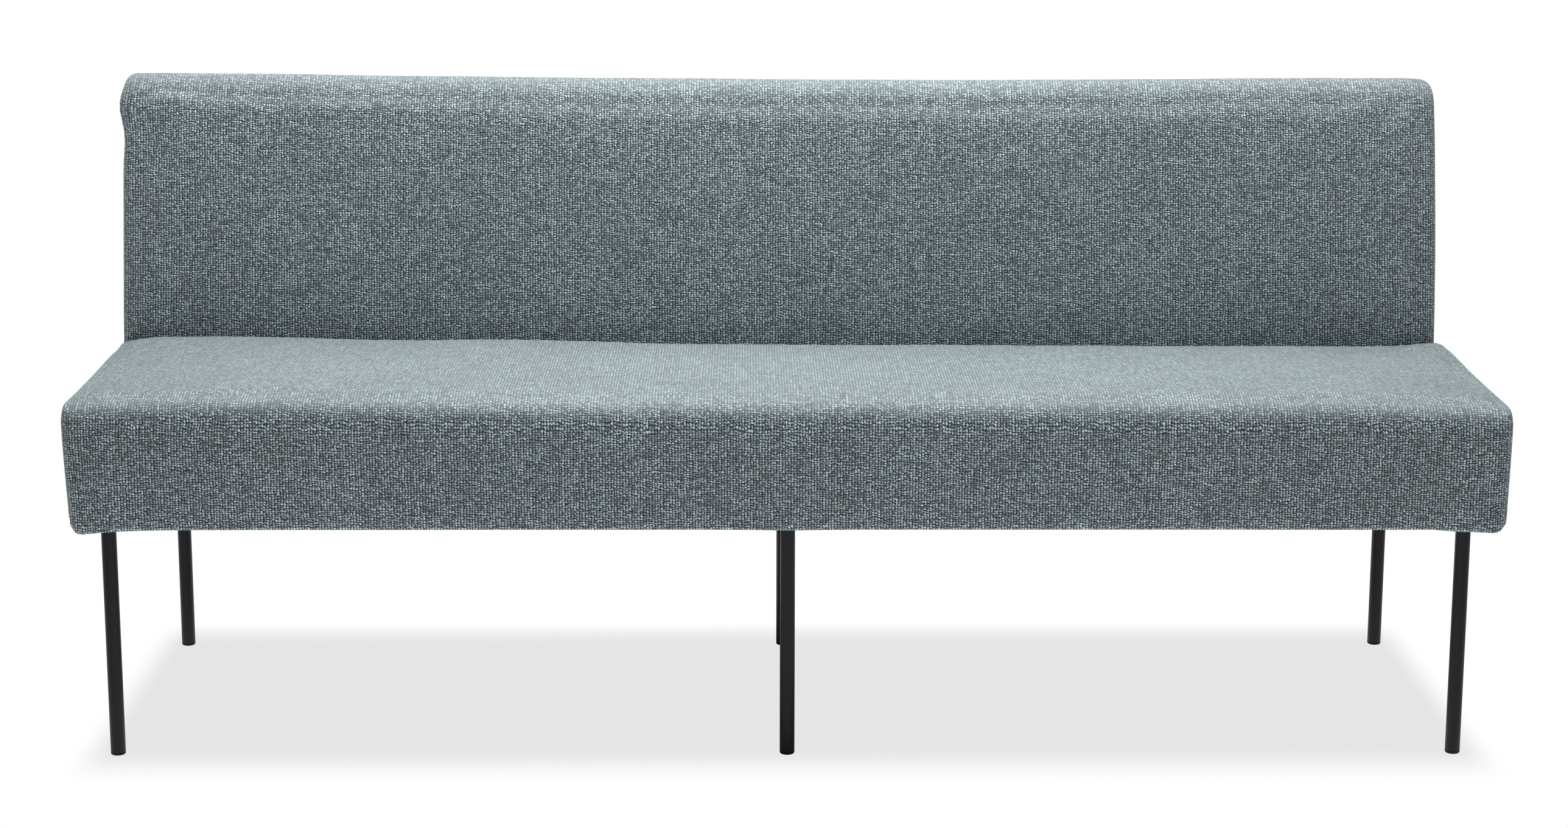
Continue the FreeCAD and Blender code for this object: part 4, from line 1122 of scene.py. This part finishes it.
def screw_part(head, head_height, shank, reach, tip):
    """A pan head screw with a cross recess, its head facing down from the origin."""
    shape = bmesh.new()
    angles = [2 * math.pi * step / SCREW_TURNS for step in range(SCREW_TURNS)]

    def ring(radius, height):
        return [shape.verts.new((radius * math.cos(a), radius * math.sin(a), height)) for a in angles]

    crown = [ring(wide * head, -deep * head_height) for wide, deep in HEAD_OUTLINE]
    stem = [ring(shank, 0.0), ring(shank, reach - tip), ring(0.1 * shank, reach)]
    rings = [*reversed(stem), *crown]
    for first, second in zip(rings, rings[1:]):
        for step in range(SCREW_TURNS):
            after = (step + 1) % SCREW_TURNS
            shape.faces.new((first[step], second[step], second[after], first[after]))
    shape.faces.new(rings[0])
    # The recess: a cross cut into the crown, narrowing inward
    arm, half = RECESS_ARM * head, RECESS_HALF * head
    cross = [(half, half), (half, arm), (-half, arm), (-half, half), (-arm, half), (-arm, -half),
             (-half, -half), (-half, -arm), (half, -arm), (half, -half), (arm, -half), (arm, half)]
    mouth = [shape.verts.new((cx, cy, -head_height)) for cx, cy in cross]
    small = RECESS_FLOOR_SIZE
    floor = [shape.verts.new((small * cx, small * cy, -RECESS_FLOOR * head_height)) for cx, cy in cross]
    for step in range(len(cross)):
        after = (step + 1) % len(cross)
        shape.faces.new((mouth[step], mouth[after], floor[after], floor[step]))
    shape.faces.new(floor)
    rim = [edge for edge in shape.edges if edge.is_boundary]
    bmesh.ops.triangle_fill(shape, edges=rim, use_beauty=True)
    bmesh.ops.recalc_face_normals(shape, faces=shape.faces[:])
    return taken_from(shape)


class BENCH_OT_legs(bpy.types.Operator):
    """Powder coated legs with welded plates, screws and plastic glides"""
    bl_idname = "bench.legs"
    bl_label = "Legs"

    def execute(self, context):
        hardware = context.scene.bench_hardware
        half = hardware.hole_spacing / 2
        screw = screw_part(head=0.0045, head_height=0.0026, shank=0.00225, reach=0.030, tip=0.006)
        welds, screws = [], []
        for leg in LEGS:
            dress(leg, "leg powder coat")
            dress(f"{leg}_plate", "leg powder coat")
            dress(f"{leg}_glide", "glide plastic")
            low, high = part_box(leg)
            axis = (low + high) / 2
            weld = weld_part((high.x - low.x) / 2, hardware.weld_size)
            welds.append(placed(weld, Matrix.Translation((axis.x, axis.y, high.z))))
            plate_low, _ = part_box(f"{leg}_plate")
            for side in (-half, half):
                for ahead in (-half, half):
                    # Each screw stopped at another angle
                    spin = Matrix.Rotation(SCREW_ANGLE * len(screws), 4, "Z")
                    place = Matrix.Translation((axis.x + side, axis.y + ahead, plate_low.z))
                    screws.append(placed(screw, place @ spin))
        new_piece("leg_welds", *joined(welds), "leg powder coat", "leg_paint")
        piece = new_piece("leg_plate_screws", *joined(screws), "zinc plate", "zinc_steel")
        piece.data.set_sharp_from_angle(angle=math.radians(40))
        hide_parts("leg_screws")
        return {"FINISHED"}


class BENCH_OT_inner_frame(bpy.types.Operator):
    """Finishes of the timber, panels, straps and bolts inside the upholstery"""
    bl_idname = "bench.inner_frame"
    bl_label = "Inner frame"

    def execute(self, context):
        for node in NODES:
            for ends, finish in INNER_FINISHES:
                if node.endswith(ends):
                    dress(node, finish)
                    break
        return {"FINISHED"}


# Stage

# Place and target of each light, and its size along X and across
LIGHTS = {
    "rear": ((0.0, 1.0, 2.4), (0.0, 0.0, 0.5), 4.2, 1.0),
    "top": ((0.0, -0.1, 3.0), (0.0, -0.1, 0.4), 2.4, 0.6),
    "front": ((0.0, -0.55, 1.9), (0.0, -0.25, 0.4), 1.8, 0.5),
    "floor": ((0.0, 0.1, 2.5), (0.0, 0.1, 0.0), 1.6, 0.3),
}
WHITE = (1.0, 1.0, 1.0, 1.0)
# Where the shadow on the floor fades in and out, along Y and to both sides of the middle
SHADOW_FRONT = (-0.40, -0.235)
SHADOW_REAR = (0.255, 0.42)
SHADOW_ENDS = (0.905, 0.965)
# Light back from the floor: the scale of its distances, where it grows, its least, and its fall to the ends
BOUNCE_SCALE = (0.62, 1.3, 1.0)
BOUNCE_GROWS = (0.3, 0.6)
BOUNCE_LEAST = 0.15
BOUNCE_ENDS = (0.6, 1.8)
BOUNCE_FALL = 0.4


def mix_shader(tree, amount, first, second):
    """A shader between two shaders."""
    return add(tree, "ShaderNodeMixShader", {0: amount, 1: first, 2: second}).outputs[0]


def floor_material(stage):
    """Pale floor that takes a soft shadow, is plain white far off, and is clear from below."""
    made = bpy.data.materials.new("pale floor")
    made.use_nodes = True
    tree = made.node_tree
    tree.nodes.clear()
    place = object_place(tree)
    spot = axes_of(tree, place)
    from_middle = calc(tree, "ABSOLUTE", spot[0])
    # The camera sees white, with the shadow under the bench alone
    matt = add(tree, "ShaderNodeBsdfDiffuse", {"Color": opaque(stage.floor_colour)}).outputs[0]
    white = add(tree, "ShaderNodeEmission", {"Strength": 1.0}).outputs[0]
    shade = calc(tree, "MULTIPLY", ease(tree, spot[1], *SHADOW_FRONT), stage.floor_shade)
    for coordinate, span in ((spot[1], SHADOW_REAR), (from_middle, SHADOW_ENDS)):
        inside = weighted(tree, 1.0, (ease(tree, coordinate, *span), -1.0))
        shade = calc(tree, "MULTIPLY", shade, inside)
    shaded = mix_shader(tree, shade, white, matt)
    # The bench gets light back from the floor, least from under it and less toward the ends
    far = add(tree, "ShaderNodeVectorMath", {0: stretched(tree, place, BOUNCE_SCALE)},
              operation="LENGTH").outputs["Value"]
    open_floor = weighted(tree, BOUNCE_LEAST, (ease(tree, far, *BOUNCE_GROWS), 1 - BOUNCE_LEAST))
    to_ends = weighted(tree, 1.0, (ease(tree, from_middle, *BOUNCE_ENDS), -BOUNCE_FALL))
    glow = calc(tree, "MULTIPLY", calc(tree, "MULTIPLY", open_floor, to_ends), stage.floor_glow)
    bounce = add(tree, "ShaderNodeEmission", {"Strength": glow}).outputs[0]
    path = tree.nodes.new("ShaderNodeLightPath").outputs
    seen = mix_shader(tree, path["Is Camera Ray"], bounce, shaded)
    behind = tree.nodes.new("ShaderNodeNewGeometry").outputs["Backfacing"]
    clear = tree.nodes.new("ShaderNodeBsdfTransparent").outputs[0]
    add(tree, "ShaderNodeOutputMaterial", {"Surface": mix_shader(tree, behind, seen, clear)})
    return made


def new_floor(stage):
    """A wide round floor under the bench."""
    shape = bmesh.new()
    bmesh.ops.create_circle(shape, cap_ends=True, segments=96, radius=60.0)
    mesh = bpy.data.meshes.new("floor")
    shape.to_mesh(mesh)
    shape.free()
    mesh.materials.append(floor_material(stage))
    floor = bpy.data.objects.new("floor", mesh)
    bpy.context.scene.collection.objects.link(floor)
    return floor


def new_world(stage):
    """White for the camera, and a weaker even light on the bench."""
    world = bpy.data.worlds.new("studio")
    world.use_nodes = True
    tree = world.node_tree
    tree.nodes.clear()
    path = tree.nodes.new("ShaderNodeLightPath").outputs
    even, bright = (add(tree, "ShaderNodeBackground", {"Color": WHITE, "Strength": strength}).outputs[0]
                    for strength in (stage.ambient, 1.0))
    add(tree, "ShaderNodeOutputWorld", {"Surface": mix_shader(tree, path["Is Camera Ray"], even, bright)})
    return world


def area_light(name, place, target, size_x, size_y, power):
    """A soft rectangular light that faces a target and isn't seen itself."""
    light = bpy.data.lights.new(name, "AREA")
    light.shape = "RECTANGLE"
    light.size, light.size_y = size_x, size_y
    light.energy = power
    holder = bpy.data.objects.new(name, light)
    holder.location = place
    holder.rotation_mode = "QUATERNION"
    holder.rotation_quaternion = (Vector(target) - Vector(place)).to_track_quat("-Z", "Y")
    holder.visible_camera = False
    bpy.context.scene.collection.objects.link(holder)
    return holder


def new_lights(stage, floor):
    """The lights. One falls on the floor alone and makes its shadow, the others leave the floor out."""
    receivers = {}
    for name, state in (("lit floor", "INCLUDE"), ("unlit floor", "EXCLUDE")):
        receivers[name] = bpy.data.collections.new(name)
        receivers[name].objects.link(floor)
        receivers[name].collection_objects[0].light_linking.link_state = state
    for name, setting in LIGHTS.items():
        light = area_light(f"{name} light", *setting, getattr(stage, f"{name}_power"))
        lit = "lit floor" if name == "floor" else "unlit floor"
        light.light_linking.receiver_collection = receivers[lit]


def new_camera(stage):
    """The photograph's camera."""
    data = bpy.data.cameras.new("camera")
    data.sensor_width = 36.0
    data.sensor_fit = "HORIZONTAL"
    data.lens = stage.camera_lens
    data.clip_end = 200.0
    camera = bpy.data.objects.new("camera", data)
    turn = Matrix.Rotation(stage.camera_yaw, 4, "Z")
    turn = turn @ Matrix.Rotation(math.pi / 2 - stage.camera_pitch, 4, "X")
    turn = turn @ Matrix.Rotation(stage.camera_roll, 4, "Z")
    camera.matrix_world = Matrix.Translation(stage.camera_place) @ turn
    bpy.context.scene.collection.objects.link(camera)
    return camera


class BENCH_OT_stage(bpy.types.Operator):
    """Pale floor, soft light and the camera"""
    bl_idname = "bench.stage"
    bl_label = "Stage"

    def execute(self, context):
        scene = context.scene
        stage = scene.bench_stage
        scene.view_settings.view_transform = "Standard"
        new_lights(stage, new_floor(stage))
        scene.world = new_world(stage)
        scene.camera = new_camera(stage)
        return {"FINISHED"}


class BENCH_PT_panel(bpy.types.Panel):
    """Sizes, colours and pieces of the bench"""
    bl_idname = "BENCH_PT_panel"
    bl_label = "Dining bench"
    bl_space_type = "VIEW_3D"
    bl_region_type = "UI"
    bl_category = "Bench"

    def draw(self, context):
        for name in GROUPS:
            box = self.layout.box()
            box.label(text=name.removeprefix("bench_").title())
            group = getattr(context.scene, name)
            for key in group.__annotations__:
                box.prop(group, key)
        for operator in OPERATORS:
            self.layout.operator(operator.bl_idname)


GROUPS = {"bench_form": BenchForm, "bench_fabric": BenchFabric, "bench_hardware": BenchHardware,
          "bench_stage": BenchStage}
OPERATORS = (BENCH_OT_seat_upholstery, BENCH_OT_back_upholstery, BENCH_OT_dust_cloth, BENCH_OT_legs,
             BENCH_OT_inner_frame, BENCH_OT_stage)


def register():
    """Make the settings, operators and panel known to Blender."""
    for made in (*GROUPS.values(), *OPERATORS, BENCH_PT_panel):
        bpy.utils.register_class(made)
    for name, group in GROUPS.items():
        setattr(bpy.types.Scene, name, PointerProperty(type=group))


def unregister():
    """Take the settings, operators and panel away again."""
    for name in GROUPS:
        delattr(bpy.types.Scene, name)
    for made in (BENCH_PT_panel, *reversed(OPERATORS), *reversed(GROUPS.values())):
        bpy.utils.unregister_class(made)


def main():
    """Build every piece in order."""
    register()
    bpy.ops.bench.seat_upholstery()
    bpy.ops.bench.back_upholstery()
    bpy.ops.bench.dust_cloth()
    bpy.ops.bench.legs()
    bpy.ops.bench.inner_frame()
    bpy.ops.bench.stage()


if __name__ == "__main__":
    main()
